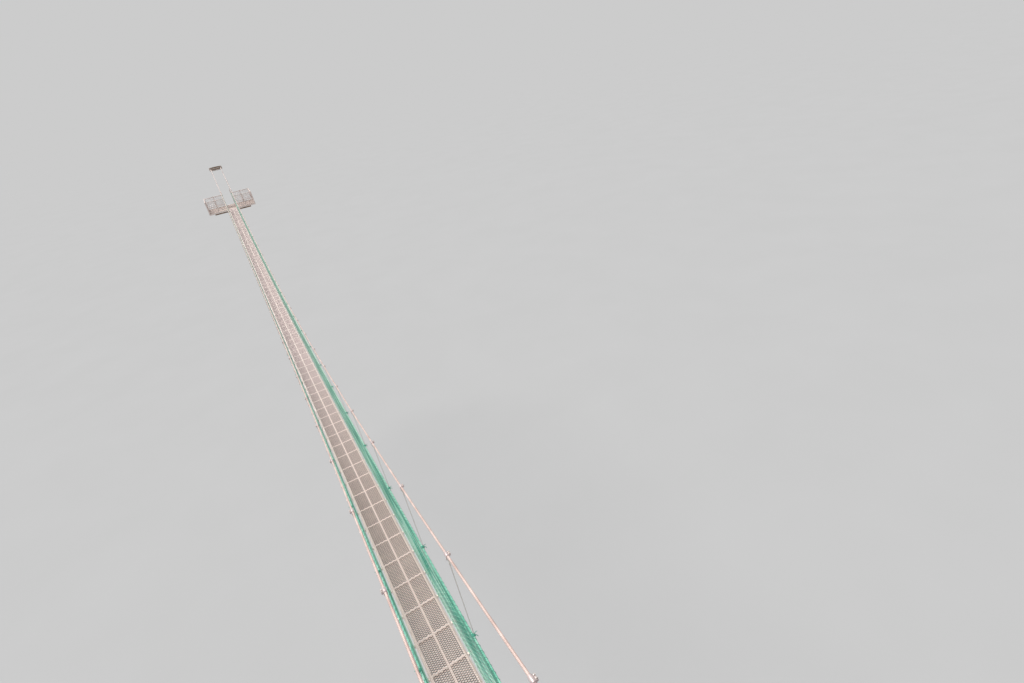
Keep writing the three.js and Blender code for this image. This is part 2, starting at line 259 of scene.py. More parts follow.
def hex_bolt(centres, axes, across, thick):
    """A hexagon head or nut with a washer under it, standing on each centre."""
    washer = np.array([(0.85, 0), (0.85, 0.25)]) * (across, thick)
    head = np.array([(0.58, 0.25), (0.58, 0.9), (0.45, 1)]) * (across, thick)
    return [turned(centres, axes, washer, 12), turned(centres, axes, head, 6)]


print("turned pieces and bars are ready")

# %% [markdown]
# ## From arrays to an object
# A piece is several such shapes in one mesh. The points go in with foreach_set, the faces as one long list
# of corners and the place where each face starts. The straightened coordinates become an attribute named
# run.

# %% Make a piece, or one on each side or at each end
made = {}


def make_piece(name, shapes, finish, slot, stands_for=(), smooth=True, crease=38.0):
    """Joins shapes, each (points, faces, straightened coordinates), into one object that rides on the frame.

    A smooth piece keeps the edges sharp whose faces turn by more than crease degrees.
    """
    counts = np.cumsum([0] + [len(shape[0]) for shape in shapes])
    points = np.concatenate([shape[0] for shape in shapes])
    straight = np.concatenate([shape[2] for shape in shapes])
    groups = [group + moved for shape, moved in zip(shapes, counts) for group in shape[1]]
    corners = np.concatenate([group.ravel() for group in groups])
    sizes = np.concatenate([np.full(len(group), group.shape[1]) for group in groups])
    mesh = bpy.data.meshes.new(name)
    mesh.vertices.add(len(points))
    mesh.vertices.foreach_set("co", to_model(points).astype(np.float32).ravel())
    mesh.loops.add(len(corners))
    mesh.loops.foreach_set("vertex_index", corners.astype(np.int32))
    mesh.polygons.add(len(sizes))
    mesh.polygons.foreach_set("loop_start", (np.cumsum(sizes) - sizes).astype(np.int32))
    mesh.update(calc_edges=True)
    run = mesh.attributes.new("run", "FLOAT_VECTOR", "POINT")
    run.data.foreach_set("vector", (straight * MODEL_SCALE).astype(np.float32).ravel())
    mesh.materials.append(finish)
    if smooth:
        mesh.shade_smooth()
        mesh.set_sharp_from_angle(angle=math.radians(crease))
    piece = bpy.data.objects.new(name, mesh)
    bpy.context.scene.collection.objects.link(piece)
    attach(piece, "root")
    if stands_for:
        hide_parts(*stands_for)
    made[name] = int((sizes - 2).sum())
    print(name, "has", made[name], "triangles")


def make_each(places, name, shapes_at, finish, slot, stands_for=(), **shading):
    """One piece for each side or end. shapes_at gets -1 or 1, and all names start with the place's name."""
    for place, way in places.items():
        nodes = [f"{place}_{node}" for node in stands_for]
        make_piece(f"{place}_{name}", shapes_at(way), finish, slot, nodes, **shading)


# %% [markdown]
# ## Finishes
# Everything here has been out in the weather for years. So all finishes come from one recipe: a broad noise
# for stains and dust, a fine one for grain, a ramp through a few measured tones, and roughness and bump
# from the fine noise. Cords and cables read their straightened coordinates, so that their grain follows the
# rope. Some finishes get further layers of colour later on, where the shapes that they belong to have their
# measures.

# %% Short names for the nodes


def shader_node(tree, kind, sockets=(), **properties):
    """Adds a node. sockets gives each input's value, or the output that feeds it, by its name or number."""
    node = tree.nodes.new("ShaderNode" + kind)
    for key, value in properties.items():
        setattr(node, key, value)
    for key, value in dict(sockets).items():
        if isinstance(value, bpy.types.NodeSocket):
            tree.links.new(value, node.inputs[key])
        else:
            node.inputs[key].default_value = value
    return node


def maths(tree, operation, *values):
    """A Math node's output. Each value is a number or an output."""
    return shader_node(tree, "Math", dict(enumerate(values)), operation=operation).outputs[0]


def graded(tree, value, low, high, start=0.0, end=1.0):
    """start where value is low, end where it is high, evenly between the two, and no further outside them."""
    sockets = {"Value": value, "From Min": low, "From Max": high, "To Min": start, "To Max": end}
    return shader_node(tree, "MapRange", sockets).outputs[0]


def object_place(tree):
    """A point's place on the model."""
    return shader_node(tree, "TexCoord").outputs["Object"]


def run_place(tree):
    """A point's straightened coordinates: along its path, then its place on the section."""
    return shader_node(tree, "Attribute", attribute_name="run").outputs["Vector"]


def axes_of(tree, place):
    """The three numbers of a place, as outputs X, Y and Z."""
    return shader_node(tree, "SeparateXYZ", {0: place}).outputs


def noise(tree, place, scale, detail):
    """A noise texture's value, about 0.5 on average."""
    return shader_node(tree, "TexNoise", {"Vector": place, "Scale": scale, "Detail": detail}).outputs["Fac"]


def ramp(tree, factor, stops):
    """A colour ramp's output. stops is a list of (place, colour)."""
    node = shader_node(tree, "ValToRGB", {"Fac": factor})
    elements = node.color_ramp.elements
    while len(elements) < len(stops):
        elements.new(0.5)
    for element, (place, colour) in zip(elements, stops):
        element.position = place
        element.color = (*colour, 1.0)
    return node.outputs["Color"]


def lay_over(finish, factor, layer, blend="MIX"):
    """Lays a colour, or a colour output, over what a finish shows so far. factor says how much of it."""
    tree = finish.node_tree
    base = tree.nodes["Principled BSDF"].inputs["Base Color"]
    layer = (*layer, 1.0) if isinstance(layer, tuple) else layer
    sockets = {0: factor, 6: base.links[0].from_socket, 7: layer}
    mix = shader_node(tree, "Mix", sockets, data_type="RGBA", blend_type=blend)
    tree.links.new(mix.outputs[2], base)


# %% The weathered recipe
NOISE_LOW, NOISE_HIGH = 0.34, 0.66
GRAIN_DETAIL, STAIN_DETAIL = 4.0, 3.0
DUST_FROM, DUST_TO = 0.5, 0.75


def weathered(name, tones, fine, broad=7.0, stretch=(1, 1, 1), follows=object_place, metallic=0.0,
              rough=(0.4, 0.7), bump=0.3, depth=0.0005, dust=(0.55, 0.45, 0.36), dusty=0.35):
    """A finish from two noises: tones by both, roughness and bump by the fine one, dust by the broad one."""
    finish = bpy.data.materials.new(name)
    finish.use_nodes = True
    tree = finish.node_tree
    shader = tree.nodes["Principled BSDF"]
    place = follows(tree)
    stretched = shader_node(tree, "Mapping", {"Vector": place, "Scale": stretch}).outputs["Vector"]
    grain = noise(tree, stretched, fine, GRAIN_DETAIL)
    stain = noise(tree, place, broad, STAIN_DETAIL)
    both = shader_node(tree, "Mix", {0: 0.5, 2: grain, 3: stain}).outputs[0]
    places = np.linspace(NOISE_LOW, NOISE_HIGH, len(tones))
    tree.links.new(ramp(tree, both, list(zip(places, tones))), shader.inputs["Base Color"])
    lay_over(finish, graded(tree, stain, DUST_FROM, DUST_TO, 0.0, dusty), dust)
    tree.links.new(graded(tree, grain, NOISE_LOW, NOISE_HIGH, *rough), shader.inputs["Roughness"])
    raised = shader_node(tree, "Bump", {"Height": grain, "Strength": bump, "Distance": depth})
    tree.links.new(raised.outputs[0], shader.inputs["Normal"])
    shader.inputs["Metallic"].default_value = metallic
    return finish


# %% [markdown]
# ### Galvanised bar
# Fresh zinc shows a frost of crystals, each reflecting a little differently. Years outdoors turn it dull
# and pale, with a warm dusty film. Cells of a Voronoi texture, half a centimetre across in the model, give
# the crystals.

# %% Galvanised bar
CRYSTALS_A_METRE, CRYSTALS_SHOW = 190.0, 0.7
galvanised = weathered(
    "galvanised_bar", [(0.68, 0.56, 0.53), (0.84, 0.72, 0.68), (0.93, 0.84, 0.81)], fine=60, broad=5,
    metallic=0.2, rough=(0.42, 0.62), bump=0.12, dust=(0.72, 0.59, 0.53), dusty=0.35)
tree = galvanised.node_tree
crystals = shader_node(tree, "TexVoronoi", {"Vector": object_place(tree), "Scale": CRYSTALS_A_METRE})
crystal_tone = ramp(tree, crystals.outputs["Color"], [(0.0, (0.8, 0.8, 0.82)), (1.0, (1.0, 1.0, 1.0))])
lay_over(galvanised, CRYSTALS_SHOW, crystal_tone, "MULTIPLY")
print("galvanised bar: crystals about", round(1000 / CRYSTALS_A_METRE, 1), "mm across in the model")

# %% [markdown]
# ### Expanded mesh
# The mesh is the same steel, but dust and leaf dirt sit in it and make it brown, and its dark tones also
# serve as painted shade round the holes. Over a bar the strands can't give, so shoes rub them bright: the
# ladder shows through the mesh as pale bands. The bands are where the bars are, so the finish works them out
# from the place across and along the deck. They are laid over the rest of the colour further on, when the
# mesh itself has its measures.

# %% Expanded mesh, and where bars lie under it
EDGE_FROM, EDGE_TO = 0.9, 1.1


def near_line(tree, value, at, half_width):
    """1 where value is within half_width of at, with an edge a fifth as wide, else 0."""
    away = maths(tree, "ABSOLUTE", maths(tree, "SUBTRACT", value, at))
    return graded(tree, away, half_width * EDGE_FROM, half_width * EDGE_TO, 1.0, 0.0)


SIDE_BAR_CENTRE = 259.0
CENTRE_BAND, CROSS_BAND = 0.75, 0.85
half_bar = BAR_WIDTH / 2 * MODEL_SCALE
# Dark brown tones: dust and dirt, and also painted shade for the holes of the mesh.
deck_metal = weathered(
    "deck_mesh_metal", [(0.05, 0.036, 0.03), (0.10, 0.077, 0.066), (0.20, 0.155, 0.14)], fine=60, broad=9,
    metallic=0.2, rough=(0.4, 0.6), bump=0.2, dusty=0.2)
floor_metal = weathered(
    "floor_mesh_metal", [(0.20, 0.155, 0.14), (0.36, 0.29, 0.265), (0.56, 0.46, 0.43)], fine=60, broad=9,
    metallic=0.6, rough=(0.35, 0.6), bump=0.2, dusty=0.3)
tree = deck_metal.node_tree
deck_axes = axes_of(tree, object_place(tree))
from_middle = maths(tree, "ABSOLUTE", deck_axes["X"])
past_middle = maths(tree, "SUBTRACT", deck_axes["Y"], MOUNT_TO_MIDDLE * MODEL_SCALE)
from_cross_bar = maths(tree, "PINGPONG", past_middle, PANEL / 2 * MODEL_SCALE)
over_side_bars = near_line(tree, from_middle, SIDE_BAR_CENTRE * MODEL_SCALE, half_bar)
over_centre_bar = near_line(tree, from_middle, 0.0, half_bar * CENTRE_BAND)
over_cross_bars = maths(tree, "LESS_THAN", from_cross_bar, half_bar * CROSS_BAND)
over_bars = maths(tree, "MAXIMUM", maths(tree, "MAXIMUM", over_side_bars, over_centre_bar), over_cross_bars)
print("the bands are", BAR_WIDTH, "mm wide and repeat every", PANEL, "mm")

# %% [markdown]
# ### Cable, wire, fittings, cord and timber
# The main cables are the palest thing on the bridge and have a warm peach tint. Fittings and hangers are
# greyer. The handrail rope is a light, faded green, the cord of its knots is a shade darker, and the
# netting gets streaks of painted light and painted shade. The clamps and collars are brown timber with its
# grain along each piece, so their noise is stretched along the straightened coordinates.

# %% The other finishes
cable_steel = weathered(
    "cable_steel", [(0.46, 0.32, 0.285), (0.69, 0.53, 0.49), (0.90, 0.77, 0.73)], fine=900, broad=9,
    stretch=(0.25, 1, 1), follows=run_place, metallic=0.2, rough=(0.4, 0.6), bump=0.25, depth=0.0004,
    dust=(0.80, 0.60, 0.55), dusty=0.3)
fitting_steel = weathered(
    "fitting_steel", [(0.40, 0.36, 0.35), (0.60, 0.54, 0.52), (0.74, 0.68, 0.66)], fine=150, broad=30,
    metallic=0.55, rough=(0.35, 0.6), bump=0.15)
sleeve_steel = weathered(
    "clamp_sleeve_steel", [(0.44, 0.36, 0.37), (0.58, 0.49, 0.49), (0.74, 0.64, 0.64)], fine=120, broad=30,
    metallic=0.35, rough=(0.32, 0.5), bump=0.12, dust=(0.60, 0.48, 0.46), dusty=0.2)
hanger_wire = weathered(
    "hanger_wire", [(0.48, 0.46, 0.43), (0.66, 0.64, 0.60), (0.80, 0.78, 0.74)], fine=700, broad=12,
    stretch=(0.4, 1, 1), follows=run_place, metallic=0.3, rough=(0.4, 0.6), bump=0.3, depth=0.0004)
handrail_green = weathered(
    "handrail_green", [(0.06, 0.36, 0.25), (0.20, 0.62, 0.47), (0.50, 0.86, 0.72)], fine=1400, broad=10,
    stretch=(0.3, 1, 1), follows=run_place, rough=(0.55, 0.8), bump=0.6, depth=0.0006,
    dust=(0.36, 0.58, 0.48), dusty=0.25)
knot_green = weathered(
    "knot_green", [(0.015, 0.20, 0.14), (0.07, 0.41, 0.30), (0.25, 0.70, 0.55)], fine=1400, broad=10,
    stretch=(0.3, 1, 1), follows=run_place, rough=(0.55, 0.8), bump=0.5, depth=0.0006,
    dust=(0.20, 0.42, 0.33), dusty=0.2)
net_green = weathered(
    "netting_green", [(0.01, 0.21, 0.14), (0.10, 0.54, 0.39), (0.45, 0.88, 0.72)], fine=1500, broad=5,
    stretch=(0.3, 1, 1), follows=run_place, rough=(0.55, 0.8), bump=0.4, depth=0.0004,
    dust=(0.42, 0.62, 0.52), dusty=0.3)
clamp_timber = weathered(
    "clamp_timber", [(0.09, 0.052, 0.032), (0.21, 0.125, 0.075), (0.36, 0.235, 0.15)], fine=120, broad=6,
    stretch=(0.05, 1, 1), follows=run_place, rough=(0.6, 0.9), bump=0.9, depth=0.0015,
    dust=(0.34, 0.29, 0.24), dusty=0.35)
for green, sheen in ((handrail_green, 0.25), (knot_green, 0.2), (net_green, 0.3)):
    green.node_tree.nodes["Principled BSDF"].inputs["Sheen Weight"].default_value = sheen
print(len(bpy.data.materials), "finishes so far")

# %% [markdown]
# ## The deck's mesh
# Expanded metal is made by slitting a plate and pulling it open, so that it is all one piece. Each strand
# runs across the deck in zigzags and meets its neighbours at the turns. A strand is a flat ribbon that
# leans back, which gives grip. The holes in the photograph are 70 mm apart across the deck and 35 mm along
# it, with every second row moved by half. That makes thousands of strands, so each gets only four corners a
# turn, and all are carried at once.

# %% Expanded metal
STRANDS_OVERLAP = 1.5


def expanded_metal(rows, crossings, base, pitch, strand, thick, tilt_degrees, first=0):
    """Ribbons that run across at each row, with their near edge the lower by the tilt.

    At crossing j, row k swings forward or back, by turns, so that neighbours meet: by half of what the pitch
    leaves over beside a strand. It sinks by half its own rise where it swings forward and rises as much where
    it swings back, so the edges that meet are level.
    """
    k, j = np.meshgrid(np.arange(len(rows)) + first, np.arange(len(crossings)), indexing="ij")
    tilt = math.radians(tilt_degrees)
    turns = (-1.0) ** (k + j)
    along = rows[:, None] + (pitch - strand * math.cos(tilt) + STRANDS_OVERLAP) / 2 * turns
    height = base(along) - strand * math.sin(tilt) / 2 * turns
    side = (0, -math.cos(tilt), -math.sin(tilt))
    lift = (0, -math.sin(tilt), math.cos(tilt))
    return carried(points_at(crossings, along, height), flat_profile(strand, thick), sides=(side, lift))


SECTIONS = 6
SECTION_LENGTH = 2 * HALF_SPAN / SECTIONS
MESH_HALF_WIDTH = 279.0
MESH_ROWS, MESH_CROSSINGS = 408, 17
MESH_STRAND, MESH_THICK, MESH_TILT = 10.5, 2.4, 28.0
MESH_MIDDLE = SEAT + 6.2
mesh_pitch = SECTION_LENGTH / MESH_ROWS
mesh_crossings = np.linspace(-MESH_HALF_WIDTH, MESH_HALF_WIDTH, MESH_CROSSINGS)
mesh_step = mesh_crossings[1] - mesh_crossings[0]


def mesh_height(along):
    """The middle of the deck's mesh, which lies on the ladder."""
    return deck_height(along) + MESH_MIDDLE


for section in range(SECTIONS):
    rows = -HALF_SPAN + section * SECTION_LENGTH + mesh_pitch * (np.arange(MESH_ROWS) + 0.5)
    strands = expanded_metal(rows, mesh_crossings, mesh_height, mesh_pitch, MESH_STRAND, MESH_THICK,
                             MESH_TILT)
    make_piece(f"deck_mesh_strands_{section + 1}", [strands], deck_metal, "expanded_mesh",
               [f"deck_mesh_{section + 1}"], smooth=False)
print("mesh pitch", round(mesh_pitch, 2), "mm, crossings every", round(mesh_step, 1), "mm")

# %% [markdown]
# ### Knuckles and holes, and the far part: painted light and shade
# Where two strands meet they make a raised knuckle. Shoes rub the knuckles bright, and a painted highlight
# on them adds the light that their raised tops catch. Round the holes the strands' lower edges keep the
# dark base: dirt, and painted shade in the holes. One cosine across the deck times one along it is -1 on
# the knuckles and 1 in the holes. It is moved forward a little, on to the low edge behind each hole.
# Towards the far tree the deck, the netting and the handrails are painted paler: painted light for the sun
# and haze there, while the part by the near tree stays darker as in its shade. One value that grows from
# there serves all.

# %% Painted highlight on the knuckles, painted shade in the holes, and painted light on the far part
# The first tone is the knuckles' painted highlight, together with their wear.
MESH_WORN_AND_HIGHLIT, MESH_FAR_LIGHT = (0.84, 0.68, 0.62), (0.62, 0.50, 0.51)
MESH_BRIGHT = (0.95, 0.82, 0.78)
ROPE_FAR_LIGHT = (0.76, 0.84, 0.76)
LOW_EDGE = 0.3
KNUCKLE_HIGHLIGHT_AT, HOLE_SHADE_AT = -0.45, 0.2
# The tones for the far part are painted light, which grows between these two places past the middle.
FAR_LIGHT_FROM, FAR_LIGHT_TO = -17500.0, -5500.0


def wave(tree, value, start, half_wave):
    """The cosine of pi * (value - start) / half_wave, with both lengths in millimetres at full size."""
    moved = maths(tree, "SUBTRACT", value, start * MODEL_SCALE)
    return maths(tree, "COSINE", maths(tree, "MULTIPLY", moved, math.pi / (half_wave * MODEL_SCALE)))


def far_light_amount(tree, most):
    """How much painted light: 0 beside the near tree, rising to most over the near third of the bridge, and
    most from there on.
    """
    low, high = ((place + MOUNT_TO_MIDDLE) * MODEL_SCALE for place in (FAR_LIGHT_FROM, FAR_LIGHT_TO))
    return graded(tree, axes_of(tree, object_place(tree))["Y"], low, high, 0.0, most)


tree = deck_metal.node_tree
first_low_edge = MOUNT_TO_MIDDLE - HALF_SPAN + LOW_EDGE * mesh_pitch
across_wave = wave(tree, deck_axes["X"], -MESH_HALF_WIDTH, mesh_step)
along_wave = wave(tree, deck_axes["Y"], first_low_edge, mesh_pitch)
# Painted highlight on the knuckles, which are also worn bright; round the holes the dark base stays, as dirt
# and painted shade.
knuckle_highlight_hole_shade = graded(tree, maths(tree, "MULTIPLY", across_wave, along_wave), KNUCKLE_HIGHLIGHT_AT, HOLE_SHADE_AT, 1.0, 0.0)
lay_over(deck_metal, knuckle_highlight_hole_shade, MESH_WORN_AND_HIGHLIT)
# Painted light: the deck is painted paler towards the far tree.
lay_over(deck_metal, far_light_amount(tree, most=0.75), MESH_FAR_LIGHT)
lay_over(deck_metal, over_bars, MESH_BRIGHT)
# Painted light: the handrail is painted paler towards the far tree.
lay_over(handrail_green, far_light_amount(handrail_green.node_tree, most=0.85), ROPE_FAR_LIGHT)
print("the deck bleaches from", FAR_LIGHT_FROM, "to", FAR_LIGHT_TO, "mm past the middle")

# %% [markdown]
# ## Joints in the ladder
# The ladder comes in six lengths. Each pair is joined on both sides by a splice plate with four bolts. They
# are small, so a chamfered bar is the plate and hexagon heads stand on its outer face.

# %% Splice plates
SPLICE_FACE, SPLICE_THICK, SPLICE_DEEP, SPLICE_HALF = 280.6, 6.0, 34.0, 110.0
SPLICE_BOLTS = np.array([-85.0, -35.0, 35.0, 85.0])
SMALL_CHAMFER = 1.5


def on_side_bar(x, along):
    """Points half way down the ladder's side bar."""
    return points_at(x, along, deck_height(along) - BAR_DEEP / 2)


splices = []
joints = -HALF_SPAN + SECTION_LENGTH * np.arange(1, SECTIONS)
for side in SIDES.values():
    middle = side * (SPLICE_FACE + SPLICE_THICK / 2)
    starts, ends = on_side_bar(middle, joints - SPLICE_HALF), on_side_bar(middle, joints + SPLICE_HALF)
    splices.append(bars(starts, ends, SPLICE_THICK, SPLICE_DEEP, SMALL_CHAMFER))
    heads = on_side_bar(side * (SPLICE_FACE + SPLICE_THICK), (joints[:, None] + SPLICE_BOLTS).ravel())
    splices += hex_bolt(heads, side * ACROSS, across=17.0, thick=9.0)
make_piece("ladder_splices", splices, fitting_steel, "galvanised_steel")

# %% [markdown]
# ## Platform floors
# The platforms have a coarser mesh of the same kind, with a hole for the trunk. The rows beside the hole
# are cut in two, so there are four fields: before it, behind it, and left and right of it.

# %% Platform floors
TRUNK_AXIS = 22800.7
FLOOR_HALF_DEEP, FLOOR_HALF_WIDE, FLOOR_HOLE = 1198.0, 1650.0, 450.0
FLOOR_ROWS, FLOOR_STEP = 80, 50.0
FLOOR_STRAND, FLOOR_THICK, FLOOR_TILT = 17.0, 3.0, 6.0
FLOOR_MIDDLE = -3.0


def floor_height(along):
    """The middle of the floor's mesh, which lies level just under the walking surface."""
    return np.full(np.shape(along), FLOOR_MIDDLE)


def floor_fields(way):
    """Four fields of expanded metal round the trunk's hole."""
    trunk = way * TRUNK_AXIS
    pitch = 2 * FLOOR_HALF_DEEP / FLOOR_ROWS
    rows = trunk - FLOOR_HALF_DEEP + pitch * (np.arange(FLOOR_ROWS) + 0.5)
    whole = np.arange(-FLOOR_HALF_WIDE, FLOOR_HALF_WIDE + 1, FLOOR_STEP)
    beside = np.abs(rows - trunk) < FLOOR_HOLE
    first = int(np.argmax(beside))
    last = first + int(beside.sum())
    right = int(np.argmax(whole >= FLOOR_HOLE))
    fields = [(rows[:first], whole, 0), (rows[last:], whole, last),
              (rows[beside], whole[whole <= -FLOOR_HOLE], first),
              (rows[beside], whole[right:], first + right)]
    return [expanded_metal(rows, crossings, floor_height, pitch, FLOOR_STRAND, FLOOR_THICK, FLOOR_TILT, start)
            for rows, crossings, start in fields]


make_each(ENDS, "floor_strands", floor_fields, floor_metal, "expanded_mesh", ["platform_floor"], smooth=False)

# %% [markdown]
# ## Side nets
# The nets are knotted by hand from thin cord into diamonds, and laced to the deck's edge and to the
# handrail. A net is a surface: how far along, and how far up between its two edges. The cords are two
# families of slanting lines on that surface, and a knot sits wherever they cross. Between the hangers the
# net bellies out a little.

# %% The net as a surface
ROPE_ABOVE_DECK = 1060.0
ROPE_X = 328.0
ROPE_RADIUS = 12.0
ROPE_DROOP = 12.0
NET_FOOT_X, NET_TOP_X = 305.0, 316.0
NET_BELLY = 9.0
NET_FOOT_LIFT, NET_TOP_DROP = SEAT + 5.5, 6.0


def rope_height(along):
    """The handrail's centre line: parallel to the deck, drooping a little in each bay between two hangers."""
    return deck_height(along) + ROPE_ABOVE_DECK - ROPE_DROOP * np.sin(np.pi * along / BAY) ** 2


def net_point(side, along, up):
    """A point of the net. up is 0 at the deck's edge and 1 at the handrail, and the belly is a sine wave."""
    belly = NET_BELLY * np.sin(np.pi * up) * np.abs(np.sin(np.pi * along / BAY))
    x = side * (NET_FOOT_X + (NET_TOP_X - NET_FOOT_X) * up + belly)
    foot = deck_height(along) + NET_FOOT_LIFT
    top = rope_height(along) - NET_TOP_DROP
    return points_at(x, along, foot + (top - foot) * up)


print("the net's top is", ROPE_ABOVE_DECK, "mm above the deck")

# %% [markdown]
# ### Light and shade painted on the netting
# Shoes and rain splash have worn and whitened the foot of the net. Under the handrail it is darker: painted
# shade, where the rope shades it. So its colour depends on how far up a point is. The deck is a parabola, so
# the finish takes the parabola's height away from the point's own height. Between foot and handrail the
# netting hangs in long shallow folds, painted paler and darker by turns: painted light and painted shade of
# the folds. A noise drawn out along the bridge gives them.

# %% Pale at the foot, painted shade under the handrail, painted light and shade of the folds between
# The shaded tone is painted shade on the netting under the handrail.
NET_WORN, NET_SHADED, NET_FAR_LIGHT = (0.56, 0.86, 0.71), (0.012, 0.17, 0.11), (0.38, 0.59, 0.49)
# The two fold tones are painted light and painted shade of the netting's folds.
FOLD_PAINTED_LIGHT, FOLD_PAINTED_SHADE = (0.58, 0.92, 0.77), (0.008, 0.18, 0.12)
FOLDS_HIGH, FOLDS_A_METRE = 7.0, 1.6
WORN_UP_TO = 0.42


def height_up_the_net(tree, axes):
    """How far up the net a point is, from 0 at the deck to 1 at the handrail."""
    along = maths(tree, "SUBTRACT", axes["Y"], MOUNT_TO_MIDDLE * MODEL_SCALE)
    lowest = (deck_height(0.0) + MOUNT_TO_FLOOR) * MODEL_SCALE
    curve = SPAN_SAG / HALF_SPAN ** 2 / MODEL_SCALE
    deck = maths(tree, "MULTIPLY_ADD", maths(tree, "MULTIPLY", along, along), curve, lowest)
    return maths(tree, "DIVIDE", maths(tree, "SUBTRACT", axes["Z"], deck), ROPE_ABOVE_DECK * MODEL_SCALE)


tree = net_green.node_tree
axes = axes_of(tree, object_place(tree))
up = height_up_the_net(tree, axes)
drawn_out = maths(tree, "MULTIPLY", axes["Y"], FOLDS_A_METRE)
level = maths(tree, "MULTIPLY", up, FOLDS_HIGH)
fold_place = shader_node(tree, "CombineXYZ", {"X": axes["X"], "Y": drawn_out, "Z": level}).outputs[0]
# Which folds get painted light and which get painted shade.
fold_lighting = noise(tree, fold_place, scale=1.0, detail=1.0)
net_layers = [(fold_lighting, 0.52, 0.62, 0.0, 0.75, FOLD_PAINTED_LIGHT), (fold_lighting, 0.38, 0.48, 0.5, 0.0, FOLD_PAINTED_SHADE),
              (up, 0.04, WORN_UP_TO, 0.65, 0.0, NET_WORN), (up, 0.78, 0.93, 0.0, 0.6, NET_SHADED)]
for value, low, high, start, end, colour in net_layers:
    lay_over(net_green, graded(tree, value, low, high, start, end), colour)
# Painted light: the netting is painted paler towards the far tree.
lay_over(net_green, far_light_amount(tree, most=0.6), NET_FAR_LIGHT)
print("the netting is palest in its lowest", round(WORN_UP_TO * ROPE_ABOVE_DECK), "mm")

# %% [markdown]
# ### Cords and knots
# Each slanting cord starts at the foot and climbs as it goes along. One family leans forward and one back.
# Those that would pass an end of the net are cut there. The knots are small double pyramids: there are
# thousands.

# %% Cords and knots of the nets
NETS_PER_SIDE = 3
NET_LENGTH = 2 * HALF_SPAN / NETS_PER_SIDE
NET_DIAMOND = 96.0
NET_DIAMONDS_HIGH = 11
NET_CORD_HALF = 3.565
NET_RINGS = 7
SHORTEST_CORD = 0.03
KNOT_HALF = (5.5, 8.5, 8.0)
net_lean = NET_DIAMOND * NET_DIAMONDS_HIGH


def net_cords(side, start, end, lean):
    """One family of cords, as 4-cornered tubes. A cord from foot passes along = foot + lean * up."""
    reach = sorted((0.0, -lean))
    feet = np.arange(start + reach[0], end + reach[1] + 1, NET_DIAMOND)
    at_start, at_end = (start - feet) / lean, (end - feet) / lean
    low = np.clip(np.minimum(at_start, at_end), 0, 1)
    high = np.clip(np.maximum(at_start, at_end), 0, 1)
    kept = high - low > SHORTEST_CORD
    feet, low, high = feet[kept], low[kept], high[kept]
    up = low[:, None] + (high - low)[:, None] * np.linspace(0, 1, NET_RINGS)
    return carried(net_point(side, feet[:, None] + lean * up, up), round_profile(NET_CORD_HALF, 4))


def net_knots(side, start, end):
    """A double pyramid at every crossing: half a diamond along or up from the last one."""
    columns = np.arange(1, round(2 * (end - start) / NET_DIAMOND))
    i, j = np.meshgrid(columns, np.arange(1, 2 * NET_DIAMONDS_HIGH), indexing="ij")
    crossing = (i + j) % 2 == 0
    along, up = start + i[crossing] * NET_DIAMOND / 2, j[crossing] / (2 * NET_DIAMONDS_HIGH)
    tips = np.concatenate([np.diag(KNOT_HALF), -np.diag(KNOT_HALF)])
    points = (net_point(side, along, up)[:, None] + tips).reshape(-1, 3)
    one = np.array([(0, 1, 2), (1, 3, 2), (3, 4, 2), (4, 0, 2), (1, 0, 5), (3, 1, 5), (4, 3, 5), (0, 4, 5)])
    faces = (np.arange(len(along)) * len(tips))[:, None, None] + one
    return points, [faces.reshape(-1, 3)], points


print("a cord climbs the net over", net_lean, "mm of deck")

# %% [markdown]
# ### Edges of the net
# Along the foot, the top and both ends runs a thicker cord that the net is tied to. A thin lacing winds
# round the handrail and the top cord, and short ties hold the foot to each bearer of the ladder. A winding
# is a helix: a circle whose middle moves along the rope.

# %% Edge cords, lacing and ties
EDGE_CORD, END_CORD, EDGE_STEP = 5.0, 4.0, 200.0
LACING_TURN, LACING_WIDE, LACING_HIGH, LACING_CORD = 96.0, 19.5, 16.5, 2.6
LACING_X, LACING_BELOW_ROPE, LACING_RINGS_A_TURN = ROPE_X - 4.0, 3.0, 5
TIE_TURNS, TIE_RINGS_A_TURN, TIE_CORD, TIE_STEP = 2, 6, 3.0, 7.0
TIE_WIDE, TIE_HIGH, TIE_RAISED = BAR_WIDTH / 2 + 3.5, BAR_DEEP / 2 + 9.0, 6.0


def net_edges(side, start, end):
    """Tubes along the foot, the top and both ends of the net."""
    along = np.linspace(start, end, int((end - start) / EDGE_STEP) + 1)
    climb = np.linspace(0, 1, 9)
    shapes = [carried(net_point(side, along, level), round_profile(EDGE_CORD, 6)) for level in (0.0, 1.0)]
    for place in (start + EDGE_CORD, end - EDGE_CORD):
        shapes.append(carried(net_point(side, place, climb), round_profile(END_CORD, 6), up=ALONG))
    return shapes


def net_lacing(side, start, end):
    """A helix round the handrail rope and the top cord: an ellipse in the plane across the rope."""
    along = np.arange(start, end, LACING_TURN / LACING_RINGS_A_TURN)
    angle = 2 * np.pi * along / LACING_TURN
    x = side * (LACING_X + LACING_WIDE * np.cos(angle))
    height = rope_height(along) - LACING_BELOW_ROPE + LACING_HIGH * np.sin(angle)
    return carried(points_at(x, along, height), round_profile(LACING_CORD, 3))


